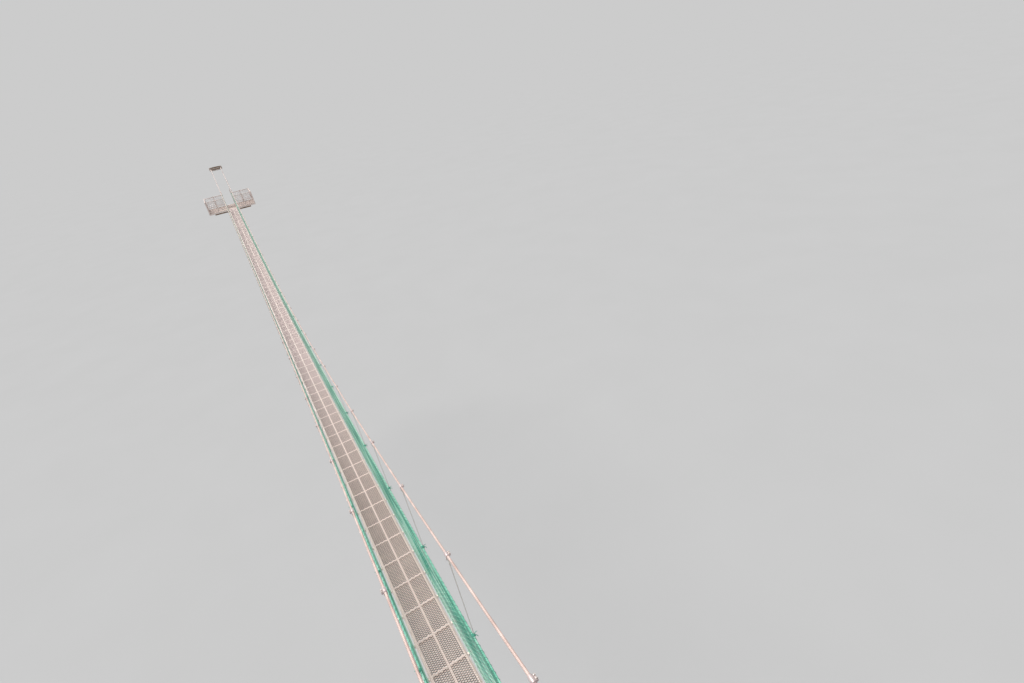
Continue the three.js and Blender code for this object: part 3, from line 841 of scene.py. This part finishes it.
def net_ties(side, start, end):
    """Two turns of cord round each bearer and the foot cord: an ellipse that moves sideways as it turns."""
    bearers = np.arange(start, end + 1, PANEL)
    bearers = np.clip(bearers, start + BAR_WIDTH / 2, end - BAR_WIDTH / 2)[:, None]
    turn = np.linspace(0, TIE_TURNS, TIE_TURNS * TIE_RINGS_A_TURN + 1)
    angle = 2 * np.pi * turn
    x = side * (NET_FOOT_X + TIE_STEP * (turn - TIE_TURNS / 2))
    along = bearers + TIE_WIDE * np.cos(angle)
    height = deck_height(bearers) - BAR_DEEP / 2 + TIE_RAISED + TIE_HIGH * np.sin(angle)
    height = np.maximum(height, deck_height(bearers) - BAR_DEEP)
    height = np.maximum(height, deck_height(0.0) - BAR_DEEP + TIE_CORD)
    return carried(points_at(x, along, height), round_profile(TIE_CORD, 4), up=ACROSS)


for side_name, side in SIDES.items():
    for i in range(NETS_PER_SIDE):
        start = -HALF_SPAN + i * NET_LENGTH
        end = start + NET_LENGTH
        shapes = [net_cords(side, start, end, lean) for lean in (net_lean, -net_lean)]
        shapes += [net_knots(side, start, end)] + net_edges(side, start, end)
        shapes += [net_lacing(side, start, end), net_ties(side, start, end)]
        make_piece(f"{side_name}_netting_{i + 1}", shapes, net_green, "green_netting",
                   [f"{side_name}_net_{i + 1}"], smooth=False)

# %% [markdown]
# ## Handrail ropes
# The handrail is a laid rope of three strands. Its section is a circle with three slight lobes, and it
# turns once in each lay while it is carried along. Ten rings a lay keep the twist smooth.

# %% A laid rope
ROPE_STRANDS, ROPE_LAY, ROPE_RINGS_A_LAY = 3, 96.0, 10
ROPE_GROOVE_RADIUS, ROPE_CREASE = 10.8, 80.0
ROPE_END = 21605.0


def handrail_rope(side):
    """The handrail: its lobed profile turns by one full turn for each lay along the rope."""
    along = np.linspace(-ROPE_END, ROPE_END, int(2 * ROPE_END / ROPE_LAY * ROPE_RINGS_A_LAY) + 1)
    path = points_at(side * ROPE_X, along, rope_height(along))
    run = np.concatenate([[0.0], np.cumsum(np.linalg.norm(np.diff(path, axis=0), axis=1))])
    corner = np.arange(2 * ROPE_STRANDS)
    radius = np.where(corner % 2 == 0, ROPE_RADIUS, ROPE_GROOVE_RADIUS)
    angle = 2 * np.pi * (corner / len(corner) + run[:, None] / ROPE_LAY)
    return [carried(path, radius[:, None] * np.stack([np.cos(angle), np.sin(angle)], -1))]


make_each(SIDES, "handrail_rope", handrail_rope, handrail_green, "green_rope", ["handrail_and_hangers"],
          crease=ROPE_CREASE)

# %% [markdown]
# ### Knots at the hangers
# Where a hanger wire passes the handrail, thin green cord is wound round both and knotted, and its two
# tails stick out. The winding is a helix of four turns. A tail is a short curved tube that thins towards
# its end.

# %% Windings and tails
LAST_HANGER = HALF_SPAN - BAR_WIDTH / 4
HANGERS = np.clip(np.arange(-12, 13) * BAY, -LAST_HANGER, LAST_HANGER)
KNOT_TURNS, KNOT_RADIUS, KNOT_TURN_STEP, KNOT_CORD = 4, 17.0, 9.5, 4.6
KNOT_ASIDE, KNOT_RINGS_A_TURN = 5.0, 9
TAIL, TAIL_FROM_X, TAIL_FROM_KNOT, TAIL_THINS = 42.0, ROPE_X + 20.0, 6.0, 0.25


def windings(side):
    """A helix of cord round the handrail and the wire beside it, at each hanger."""
    turn = np.linspace(-KNOT_TURNS / 2, KNOT_TURNS / 2, KNOT_TURNS * KNOT_RINGS_A_TURN + 1)
    angle = 2 * np.pi * turn
    along = HANGERS[:, None] + turn * KNOT_TURN_STEP
    x = side * (ROPE_X + KNOT_ASIDE + (KNOT_RADIUS + KNOT_ASIDE) * np.cos(angle))
    height = rope_height(HANGERS)[:, None] + KNOT_RADIUS * np.sin(angle)
    return carried(points_at(x, along, height), round_profile(KNOT_CORD, 5))


def tails(side):
    """Two loose ends at each knot: they start on the winding and curve out, forward and back, and down."""
    go = np.linspace(0, 1, 6)
    shapes = []
    for way, out, drop in ((1, 1.0, 0.25), (-1, 0.75, 0.7)):
        x = side * (TAIL_FROM_X + TAIL * out * go)
        along = HANGERS[:, None] + way * (TAIL_FROM_KNOT + TAIL * 0.5 * go)
        climb = TAIL_FROM_KNOT + TAIL * (0.5 * go - (0.5 + drop) * go ** 2)
        paths = points_at(x, along, rope_height(HANGERS)[:, None] + climb)
        shapes.append(carried(paths, round_profile(KNOT_CORD, 5), size=1 - TAIL_THINS * go))
    return shapes


def knots(side):
    """All windings and tails of a side."""
    return [windings(side)] + tails(side)


make_each(SIDES, "handrail_knots", knots, knot_green, "green_rope", crease=ROPE_CREASE)
print(len(HANGERS), "hangers on each side")

# %% [markdown]
# ### The lay of the strands
# The strands' roundness is a bump, and the grooves between them are darkened: painted shade. The straightened
# coordinates tell how far along a point is and where on the section, so its angle less the turn of the lay
# tells which strand it lies on. The height is the size of a cosine with one hump for each strand. The steel
# cables will use the same function.

# %% Strands drawn as relief
STRAND_RELIEF = 0.8
GROOVE_UP_TO, GROOVE_SHADE_MOST = 0.45, 0.75


def laid_strands(finish, strands, lay, deep, groove_shade):
    """Adds strands, whose height is |cos(strands / 2 * (angle on the section - turn of the lay))|."""
    tree = finish.node_tree
    normal = tree.nodes["Principled BSDF"].inputs["Normal"]
    section = axes_of(tree, run_place(tree))
    angle = maths(tree, "ARCTAN2", section["Z"], section["Y"])
    on_strand = maths(tree, "MULTIPLY_ADD", section["X"], -2 * math.pi / (lay * MODEL_SCALE), angle)
    height = maths(tree, "ABSOLUTE", maths(tree, "COSINE", maths(tree, "MULTIPLY", on_strand, strands / 2)))
    sockets = {"Height": height, "Strength": STRAND_RELIEF, "Distance": deep * MODEL_SCALE}
    bump = shader_node(tree, "Bump", {**sockets, "Normal": normal.links[0].from_socket})
    tree.links.new(bump.outputs[0], normal)
    # Painted shade in the grooves between the strands.
    lay_over(finish, graded(tree, height, 0.0, GROOVE_UP_TO, GROOVE_SHADE_MOST, 0.0), groove_shade)


# The handrail's grooves get painted shade.
laid_strands(handrail_green, ROPE_STRANDS, ROPE_LAY, deep=3.0, groove_shade=(0.05, 0.27, 0.19))
print("a strand of the handrail passes the top every", ROPE_LAY / ROPE_STRANDS, "mm")

# %% [markdown]
# ## Main cables
# Each cable is a steel rope of six strands. It sags more steeply than the deck, so the hangers get longer
# towards the trees. Its strands stand out by little more than a millimetre, so the cable is carried as a
# plain round, and the strands come from the same relief as the handrail's.

# %% Main cables
CABLE_X = 335.0
CABLE_RADIUS = 13.0
CABLE_LOW, CABLE_RISE, CABLE_REACH = -412.7, 3272.7, 22420.0
CABLE_IN_SOCKET = 120.0
CABLE_RINGS = 601
CABLE_STRANDS, CABLE_LAY = 6, 240.0


def cable_point(side, along):
    """The cable's centre line: a parabola with its lowest point at mid-span."""
    return points_at(side * CABLE_X, along, CABLE_LOW + CABLE_RISE * (along / CABLE_REACH) ** 2)


def cable_direction(along):
    """The cable's direction, from the slope of its parabola."""
    return unit(points_at(0.0, 1.0, 2 * CABLE_RISE * along / CABLE_REACH ** 2))


def cable_rope(side):
    """A round rope from socket to socket."""
    end = CABLE_REACH - CABLE_IN_SOCKET
    return [carried(cable_point(side, np.linspace(-end, end, CABLE_RINGS)), round_profile(CABLE_RADIUS, 12))]


make_each(SIDES, "cable_rope", cable_rope, cable_steel, "cable_steel", ["main_cable"])
# The cable's grooves get painted shade too.
laid_strands(cable_steel, CABLE_STRANDS, CABLE_LAY, deep=1.4, groove_shade=(0.22, 0.15, 0.13))
print("a strand of the cable passes the top every", CABLE_LAY / CABLE_STRANDS, "mm")

# %% [markdown]
# ## Cable clamps and shackles
# A sleeve in two halves grips the cable at each hanger, with a flange on the outer side where two bolts
# close it. An ear under it holds a bow shackle, and the hanger's eye hangs in the shackle. Sleeve and bolts
# are turned pieces, and the bow is a round bar carried along half a circle with straight legs.

# %% Clamps on the cables
SLEEVE = [(16.5, -42), (20.5, -38), (21.5, -34), (21.5, 34), (20.5, 38), (16.5, 42)]
FLANGE_OUT, FLANGE_HALF_LONG, FLANGE_WIDE, FLANGE_THICK = 27.0, 32.0, 20.0, 17.0
CLAMP_BOLT_PLACES, CLAMP_BOLT_OUT, CLAMP_BOLT_REACH = (-17.0, 17.0), 2.0, 8.0
EAR_DROP, EAR_FROM, EAR_PAST_PIN, EAR_WIDE, EAR_THICK = 50.0, 15.0, 12.0, 26.0, 9.0
CLAMP_CHAMFER = 3.0
BOW_RADIUS, BOW_BAR, BOW_LEG = 15.0, 5.0, 14.0
SHACKLE_PIN = [(7.5, 0), (7.5, 6), (4.5, 6), (4.5, 36), (7.5, 36), (7.5, 42)]


def cable_ways():
    """The cable's direction at each hanger, and the direction that is square to it and points down."""
    ways = cable_direction(HANGERS)
    down = unit(np.cross(ways, ACROSS))
    return ways, down * -np.sign(down[:, 2:])


def clamps(side):
    """At each hanger a sleeve round the cable, a flange on its outer side and an ear under it."""
    centre = cable_point(side, HANGERS)
    ways, down = cable_ways()
    flange = centre + side * ACROSS * FLANGE_OUT
    half = ways * FLANGE_HALF_LONG
    ear = centre + down * EAR_FROM
    ear_end = ear + down * (EAR_DROP - EAR_FROM + EAR_PAST_PIN)
    return [turned(centre, ways, SLEEVE, 12),
            bars(flange - half, flange + half, FLANGE_WIDE, FLANGE_THICK, CLAMP_CHAMFER),
            bars(ear, ear_end, EAR_WIDE, EAR_THICK, CLAMP_CHAMFER, up=ACROSS)]


def bolts_and_shackles(side):
    """The heads and nuts of each flange's two bolts, and a bow shackle and its pin through each ear.

    A bow is two legs and half a circle, in the plane across the ear.
    """
    ways, down = cable_ways()
    row = cable_point(side, HANGERS) + side * ACROSS * (FLANGE_OUT + CLAMP_BOLT_OUT)
    places = np.concatenate([row + ways * place for place in CLAMP_BOLT_PLACES])
    shapes = []
    for facing in (-np.concatenate([down, down]), np.concatenate([down, down])):
        shapes += hex_bolt(places + facing * CLAMP_BOLT_REACH, facing, across=13.0, thick=9.0)
    pin = cable_point(side, HANGERS) - EAR_DROP * UP
    angle = np.linspace(0, np.pi, 9)
    x = np.concatenate([[BOW_RADIUS], np.cos(angle) * BOW_RADIUS, [-BOW_RADIUS]])
    height = np.concatenate([[0.0], -BOW_LEG - np.sin(angle) * BOW_RADIUS, [0.0]])
    shapes.append(carried(pin[:, None] + points_at(x, 0.0, height), round_profile(BOW_BAR, 6), up=ALONG))
    half_pin = SHACKLE_PIN[-1][1] / 2
    return shapes + [turned(pin - ACROSS * half_pin, ACROSS, SHACKLE_PIN, 8)]


make_each(SIDES, "cable_clamps", clamps, sleeve_steel, "cable_steel")
make_each(SIDES, "clamp_bolts_and_shackles", bolts_and_shackles, fitting_steel, "cable_steel")

# %% [markdown]
# ## Hangers
# A hanger is a thin steel wire from the shackle, past the handrail, down to an eye bolt near the tip of
# every third bearer. At both ends it turns back round a thimble into a loop, and a pressed ferrule closes
# the loop. The loops are ellipses on the wire's own line.

# %% Hanger wires
BEARER_X = 381.0
EYE_LIFT, EYE_RADIUS, EYE_BAR = 26.0, 11.0, 4.0
WIRE = 4.4
WIRE_BELOW_PIN, WIRE_ABOVE_EYE, WIRE_PAST_ROPE = 26.0, 4.0, 16.0
LOOP_HALF_LONG, LOOP_HALF_WIDE, LOOP_CLOSED = 26.0, 12.0, 50.0
FERRULE = [(5.5, 46), (8.5, 49), (8.5, 82), (5.5, 86)]
full_turn = 2 * np.pi * np.arange(12) / 12


def wire_loops(tips, ways):
    """An elliptic loop of wire behind each tip, in the plane of the wire and the deck's direction."""
    middle = (tips + ways * LOOP_HALF_LONG)[:, None]
    long = ways[:, None] * (LOOP_HALF_LONG * np.cos(full_turn))[:, None]
    wide = ALONG * (LOOP_HALF_WIDE * np.sin(full_turn))[:, None]
    return carried(middle + long + wide, round_profile(WIRE, 5), up=ACROSS, closed=True)


def hangers(side):
    """Straight wires from a hanger's ends to where it passes the handrail, and their loops and ferrules."""
    top = cable_point(side, HANGERS) - (EAR_DROP + WIRE_BELOW_PIN) * UP
    past = points_at(side * (ROPE_X + WIRE_PAST_ROPE), HANGERS, rope_height(HANGERS))
    foot = points_at(side * BEARER_X, HANGERS, deck_height(HANGERS) + EYE_LIFT + WIRE_ABOVE_EYE)
    go = np.linspace(0, 1, 5)[:, None]
    wires, loops, ferrules = [], [], []
    for tip in (top, foot):
        way = unit(past - tip)
        start = tip + way * LOOP_CLOSED
        paths = start[:, None] + (past - start)[:, None] * go
        wires.append(carried(paths, round_profile(WIRE, 6), up=ALONG))
        loops.append(wire_loops(tip, way))
        ferrules.append(turned(tip, way, FERRULE, 8))
    return wires + loops + ferrules


make_each(SIDES, "hanger_wires", hangers, hanger_wire, "cable_steel", ["handrail_and_hangers"])

# %% [markdown]
# ## Eye bolts and tip bolts
# The hangers hold the ladder by an eye bolt in every third bearer. The bearers between have a plain bolt
# with a nut at their tip, which shows in the photograph as a row of pale knobs outside the cable.

# %% Bolts in the bearers
EYE_SHANK = [(12, 0), (12, 7), (8, 8), (5, 15)]
NUT_ACROSS, NUT_THICK = 22.0, 15.0
BOLT_END, BOLT_END_LIFT = [(6, 0), (6, 12), (4.5, 14)], 12.0


def bearer_tip(side, along):
    """Points on the top of the bearers, near their tips."""
    return points_at(side * BEARER_X, along, deck_height(along))


def bearer_bolts(side):
    """An eye bolt on every third bearer. On the others a nut on a washer, with the bolt's end above it."""
    seat = bearer_tip(side, HANGERS)
    ring = points_at(np.cos(full_turn) * EYE_RADIUS, 0.0, np.sin(full_turn) * EYE_RADIUS)
    rings = carried(seat[:, None] + EYE_LIFT * UP + ring, round_profile(EYE_BAR, 6), up=ALONG, closed=True)
    shapes = [rings, turned(seat, UP, EYE_SHANK, 8)]
    bearers = np.arange(-HALF_SPAN / PANEL, HALF_SPAN / PANEL + 1)
    between = bearer_tip(side, bearers[bearers % 3 != 0] * PANEL)
    shapes += hex_bolt(between, UP, NUT_ACROSS, NUT_THICK)
    return shapes + [turned(between + BOLT_END_LIFT * UP, UP, BOLT_END, 8)]


make_each(SIDES, "bearer_bolts", bearer_bolts, galvanised, "galvanised_steel")

# %% [markdown]
# ## Cable ends
# At each tree a cable ends in a forged socket, which is pinned between two lugs of the collar. The socket
# is a cone round the cable that goes over into a flat tongue.

# %% Sockets and pins
COLLAR_HEIGHT = 2860.0
SOCKET_START = 285.0
SOCKET = [(16, 0), (19, 4), (20, 60), (33, 200), (35, 225), (30, 238), (14, 243)]
TONGUE_START, TONGUE_PAST_PIN, TONGUE_THICK, TONGUE_HIGH, TONGUE_CHAMFER = 60.0, 26.0, 17.0, 52.0, 6.0
PIN_BACK = 32.0
LUG_PIN = [(17, 0), (19, 2), (19, 9), (12, 9), (12, 55), (19, 55), (19, 62), (17, 64)]


def sockets(way):
    """Two cones round the cables' ends, with tongues to the lugs and pins through them."""
    out = cable_direction(way * CABLE_REACH) * way
    shapes = []
    for side in SIDES.values():
        end = points_at(side * CABLE_X, way * CABLE_REACH, COLLAR_HEIGHT)
        pin = end + way * PIN_BACK * ALONG
        half_pin = LUG_PIN[-1][1] / 2
        shapes.append(turned(end - out * SOCKET_START, out, SOCKET, 16))
        shapes.append(bars(end - out * TONGUE_START, pin + out * TONGUE_PAST_PIN, TONGUE_THICK, TONGUE_HIGH,
                           TONGUE_CHAMFER))
        shapes.append(turned(pin - half_pin * ACROSS, ACROSS, LUG_PIN, 12))
    return shapes


make_each(ENDS, "cable_sockets", sockets, fitting_steel, "cable_steel")

# %% [markdown]
# ## Collars
# The cables pull on a collar that hugs the trunk: sixteen timber staves that spread the load over the bark,
# two steel bands that hold them together, and lug plates for the sockets. A stave is a bar whose section is
# a little wider outside than inside, and a band is a flat bar carried round a closed ring.

# %% Collar of staves, bands and lugs
STAVES = 16
STAVE_INNER, STAVE_OUTER, STAVE_GAP, STAVE_CUT = 400.4, 433.5, 5.0, 4.0
STAVE_SIZES = np.array([0.96, 1, 1, 0.96])
BAND_MIDDLE, BAND_THICK, BAND_HIGH, BAND_OFF = 436.7, 4.4, 46.0, 56.0
COLLAR_HALF = 99.0
LUG_BACK, LUG_REACH, LUG_HALF_HIGH = 255.0, 380.0, 44.0
LUG_FACES, LUG_THICK = (-19.5, 10.5), 9.0
half_stave = math.pi / STAVES


def staves(way):
    """Upright bars round the trunk. The profile is a wedge with its corners cut, and lift points outwards."""
    angle = 2 * half_stave * (np.arange(STAVES) + 0.5)
    out = points_at(np.cos(angle), np.sin(angle), 0.0)
    middle = (STAVE_INNER + STAVE_OUTER) / 2
    half, cut = (STAVE_OUTER - STAVE_INNER) / 2, STAVE_CUT
    narrow, wide = (r * math.tan(half_stave) - STAVE_GAP / 2 for r in (STAVE_INNER, STAVE_OUTER))
    wedge = np.array([(narrow - cut, -half), (narrow, cut - half), (wide, half - cut), (wide - cut, half)])
    wedge = np.concatenate([wedge, (wedge * [-1, 1])[::-1]])
    foot = points_at(0.0, way * TRUNK_AXIS, COLLAR_HEIGHT) + out * middle
    levels = np.array([-COLLAR_HALF, cut - COLLAR_HALF, COLLAR_HALF - cut, COLLAR_HALF])
    paths = foot[:, None] + levels[:, None] * UP
    return [carried(paths, wedge, up=out[:, None], size=STAVE_SIZES, tangent=UP)]


def bands_and_lugs(way):
    """Two flat bars carried round the staves, and two plates beside each socket's tongue.

    The plates are rounded at the tip and reach back to the bands.
    """
    trunk = way * TRUNK_AXIS
    angle = 2 * half_stave * np.arange(STAVES)
    radius = BAND_MIDDLE / math.cos(half_stave)
    ring = points_at(np.cos(angle) * radius, np.sin(angle) * radius + trunk, COLLAR_HEIGHT)
    levels = np.array([-BAND_OFF, BAND_OFF])[:, None, None] * UP
    bands = carried(ring + levels, flat_profile(BAND_THICK, BAND_HIGH), closed=True)
    round_tip = np.linspace(-np.pi / 2, np.pi / 2, 7)
    high = LUG_HALF_HIGH
    tip = np.stack([LUG_REACH - high + high * np.cos(round_tip), high * np.sin(round_tip)], -1)
    outline = np.concatenate([[[LUG_BACK, -high]], tip, [[LUG_BACK, high]]])
    faces = [side * CABLE_X + face for side in SIDES.values() for face in LUG_FACES]
    paths = [points_at([face, face + LUG_THICK], trunk, COLLAR_HEIGHT) for face in faces]
    return [bands] + [carried(path, outline[::way] * [way, 1]) for path in paths]


make_each(ENDS, "collar_staves", staves, clamp_timber, "clamp_timber", ["cable_collar"])
make_each(ENDS, "collar_bands_and_lugs", bands_and_lugs, fitting_steel, "galvanised_steel", ["cable_collar"],
          smooth=False)

# %% [markdown]
# ## Trunk clamps
# Each platform stands on two sawn beams that are pulled together round the trunk by two long tie rods. The
# beams are bars with chamfered edges, and the rods end in nuts on square plates.

# %% Trunk clamps
BEAM_HALF_LONG, BEAM_NEAR, BEAM_FAR = 1300.0, 400.0, 520.0
BEAM_LOW, BEAM_HIGH = -287.4, -107.4
ROD_X, ROD_REACH = 520.0, 550.0
ROD = [(11, 0), (14, 4), (14, 2 * ROD_REACH - 4), (11, 2 * ROD_REACH)]
ROD_NUT = [(22, 0), (22, 13), (18, 16)]
PLATE_WIDE, PLATE_THICK = 90.0, 7.0
BEAM_CHAMFER, PLATE_CHAMFER = 7.0, 2.0
beam_level = (BEAM_LOW + BEAM_HIGH) / 2


def clamp_beams(way):
    """Two chamfered beams, one on each side of the trunk."""
    middle = (BEAM_NEAR + BEAM_FAR) / 2
    starts = points_at(-BEAM_HALF_LONG, way * TRUNK_AXIS + np.array([-middle, middle]), beam_level)
    return [bars(starts, starts * [-1, 1, 1], BEAM_FAR - BEAM_NEAR, BEAM_HIGH - BEAM_LOW, BEAM_CHAMFER)]


def tie_rods(way):
    """Round rods through both beams, with a square plate and a nut at each end."""
    trunk = way * TRUNK_AXIS
    shapes = []
    for side in SIDES.values():
        x = side * ROD_X
        shapes.append(turned((x, trunk - ROD_REACH, beam_level), ALONG, ROD, 12))
        for out in (-1, 1):
            face = points_at(x, trunk + out * BEAM_FAR, beam_level)
            seat = face + out * ALONG * PLATE_THICK
            shapes.append(bars(face, seat, PLATE_WIDE, PLATE_WIDE, PLATE_CHAMFER))
            shapes.append(turned(seat, out * ALONG, ROD_NUT, 6))
    return shapes


make_each(ENDS, "clamp_beams", clamp_beams, clamp_timber, "clamp_timber", ["trunk_clamp"])
make_each(ENDS, "clamp_tie_rods", tie_rods, fitting_steel, "galvanised_steel", ["trunk_clamp"])

# %% [markdown]
# ## Railings
# The platforms are fenced by straight panels: square posts, a top and a bottom rail, and welded wire mesh
# between. The wires are hundreds of thin round bars, made in two calls: all uprights of a panel, and all
# its level wires.

# %% Railing panels
POST, RAIL, SHOE = 50.0, 40.0, 58.0
POST_CHAMFER, RAIL_CHAMFER, SHOE_CHAMFER = 5.0, 4.0, 1.0
POST_HIGH, ENTRANCE_HIGH = 875.0, 1100.0
POST_FROM, SHOE_FROM, SHOE_TO = 4.0, 0.5, 8.0
TOP_RAIL, FOOT_RAIL = 830.0, 100.0
SIDE_LINE, FRONT_LINE = 1620.0, 1170.0
MIDDLE_POST, RAIL_END = 974.0, 1594.3
WIRE_GAP, WIRE_THICK, WIRE_IN_RAIL = 25.0, 2.3, 4.0
BETWEEN_BOTH_WAYS = ACROSS + ALONG


def panel(origin, way, posts, heights, stub=None):
    """A panel in the upright plane through origin along way: posts at their places, of their heights, and
    rails and wires between the first and the last, or on to the end of a stub past the last one.
    """
    def at(along, height):
        return origin + np.multiply.outer(along, way) + np.multiply.outer(height, UP)

    shapes = [bars(at(posts, POST_FROM), at(posts, heights), POST, POST, POST_CHAMFER, up=way)]
    shapes.append(bars(at(posts, SHOE_FROM), at(posts, SHOE_TO), SHOE, SHOE, SHOE_CHAMFER, up=way))
    rails = np.array([TOP_RAIL, FOOT_RAIL])
    stretches = [(left + POST / 2, right - POST / 2) for left, right in zip(posts[:-1], posts[1:])]
    stretches += [(posts[-1] + POST / 2, stub)] if stub else []
    for left, right in stretches:
        shapes.append(bars(at(left, rails), at(right, rails), RAIL, RAIL, RAIL_CHAMFER))
    start, end = stretches[0][0], stretches[-1][1]
    low, high = FOOT_RAIL + RAIL / 2 - WIRE_IN_RAIL, TOP_RAIL - RAIL / 2 + WIRE_IN_RAIL
    along = np.arange(start + WIRE_GAP, end - WIRE_GAP / 2, WIRE_GAP)
    level = np.arange(low + WIRE_GAP, high, WIRE_GAP * 2)
    uprights = np.stack([at(along, low), at(along, high)], 1)
    levels = np.stack([at(start, level), at(end, level)], 1)
    shapes.append(carried(uprights, round_profile(WIRE_THICK, 5), up=BETWEEN_BOTH_WAYS))
    shapes.append(carried(levels, round_profile(WIRE_THICK, 5)))
    return shapes


for end, way in ENDS.items():
    trunk = way * TRUNK_AXIS
    for side_name, side in SIDES.items():
        shapes = panel((side * SIDE_LINE, trunk, 0), ALONG, [-FRONT_LINE, 0.0, FRONT_LINE], [POST_HIGH] * 3)
        make_piece(f"{end}_{side_name}_side_railing", shapes, galvanised, "galvanised_steel",
                   [f"{end}_railing_{side_name}"], smooth=False)
        for place_name, place in (("front", -1), ("back", 1)):
            shapes = panel((0, trunk + way * place * FRONT_LINE, 0), side * ACROSS, [ROPE_X, MIDDLE_POST],
                           [ENTRANCE_HIGH, POST_HIGH], stub=RAIL_END)
            make_piece(f"{end}_{side_name}_{place_name}_railing", shapes, galvanised, "galvanised_steel",
                       [f"{end}_railing_{place_name}_{side_name}"], smooth=False)

# %% [markdown]
# ## Rope ends
# The handrail ends at the entrance posts of the platforms. It is wound round each post and made fast, so a
# helix of the same rope goes round the square post, with its corners rounded.

# %% Handrail tied to the entrance posts
POST_TURNS, POST_TURN_STEP, POST_ROPE, POST_RINGS_A_TURN = 4, 19.0, 9.0, 16
WINDING_FROM = ROPE_ABOVE_DECK + LADDER_END - 34.0
CORNER_REACH = 1.62


def post_windings():
    """A rounded-square helix of rope round each of the four entrance posts."""
    turn = np.linspace(0, POST_TURNS, POST_TURNS * POST_RINGS_A_TURN + 1)
    angle = 2 * np.pi * turn
    reach = (POST / 2 + POST_ROPE) / np.maximum(np.abs(np.cos(angle)), np.abs(np.sin(angle)))
    reach = np.minimum(reach, POST / 2 * CORNER_REACH)
    posts = [(side * ROPE_X, way * (TRUNK_AXIS - FRONT_LINE)) for side in (-1, 1) for way in (-1, 1)]
    height = WINDING_FROM + turn * POST_TURN_STEP
    paths = [points_at(x + reach * np.cos(angle), y + reach * np.sin(angle), height) for x, y in posts]
    return carried(np.stack(paths), round_profile(POST_ROPE, 7))


make_piece("handrail_post_windings", [post_windings()], handrail_green, "green_rope")

# %% [markdown]
# ## The solids that stay
# The ladder's bars and the platform frames are right as they are. They only get the galvanised finish,
# which is put in their material slots without touching their shapes.

# %% Finish for the kept solids
for name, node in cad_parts.items():
    if not node.hide_render:
        for material_slot in node.material_slots:
            material_slot.link = "OBJECT"
            material_slot.material = galvanised
        print(name, "keeps its solid")

# %% [markdown]
# ## Floor and light
# A pale floor lies far below the bridge, and a pale sky lights it from everywhere. A wide, soft sun from
# beyond the far tree gives the cords and strands a lit and a shaded side without hard shadows. The floor
# has no gloss, and its tone is the sky's tone divided by the light that falls on it, so the two meet
# without a line.

# %% Floor
FLOOR_LEVEL, FLOOR_REACH = -9.0, 900.0
FLOOR_TONES = [(0.3, (0.455, 0.465, 0.481)), (0.7, (0.463, 0.473, 0.490))]
FLOOR_STAINS_A_METRE, FLOOR_ROUGHNESS = 0.4, 0.9
corners = FLOOR_REACH * np.array([(-1, -1), (1, -1), (1, 1), (-1, 1)])
floor_mesh = bpy.data.meshes.new("studio_floor")
floor_mesh.from_pydata([(x, y, FLOOR_LEVEL) for x, y in corners], [], [(0, 1, 2, 3)])
studio_floor = bpy.data.objects.new("studio_floor", floor_mesh)
bpy.context.scene.collection.objects.link(studio_floor)
pale = bpy.data.materials.new("studio_floor")
pale.use_nodes = True
tree = pale.node_tree
shader = tree.nodes["Principled BSDF"]
speckle = noise(tree, object_place(tree), FLOOR_STAINS_A_METRE, detail=2.0)
tree.links.new(ramp(tree, speckle, FLOOR_TONES), shader.inputs["Base Color"])
shader.inputs["Roughness"].default_value = FLOOR_ROUGHNESS
shader.inputs["Specular IOR Level"].default_value = 0.0
floor_mesh.materials.append(pale)
studio_floor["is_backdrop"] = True
print("floor at", FLOOR_LEVEL, "m")

# %% Sky and sun
SKY_TONE, SKY_STRENGTH = (0.90, 0.90, 0.90, 1.0), 0.67
SUN_FROM = Vector((-0.35, 0.8, 0.85))
SUN_TONE, SUN_STRENGTH, SUN_DEGREES_WIDE = (1.0, 0.96, 0.9), 3.2, 30
sky = bpy.data.worlds.new("studio_sky")
sky.use_nodes = True
sky.node_tree.nodes["Background"].inputs["Color"].default_value = SKY_TONE
sky.node_tree.nodes["Background"].inputs["Strength"].default_value = SKY_STRENGTH
bpy.context.scene.world = sky
sun = bpy.data.objects.new("sun", bpy.data.lights.new("sun", "SUN"))
bpy.context.scene.collection.objects.link(sun)
sun.data.energy = SUN_STRENGTH
sun.data.angle = math.radians(SUN_DEGREES_WIDE)
sun.data.color = SUN_TONE
sun.rotation_euler = SUN_FROM.to_track_quat("Z", "Y").to_euler()
bpy.context.scene.view_settings.view_transform = "Standard"
print("sun from", tuple(SUN_FROM))

# %% [markdown]
# ## Measure
# The box of everything that is shown is measured, and the added triangles are counted.
# The finished model has to stay inside the box of the solids.

# %% Measure the box and count the triangles
low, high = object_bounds()
print("triangles added:", sum(made.values()), "the largest piece:", max(made, key=made.get))
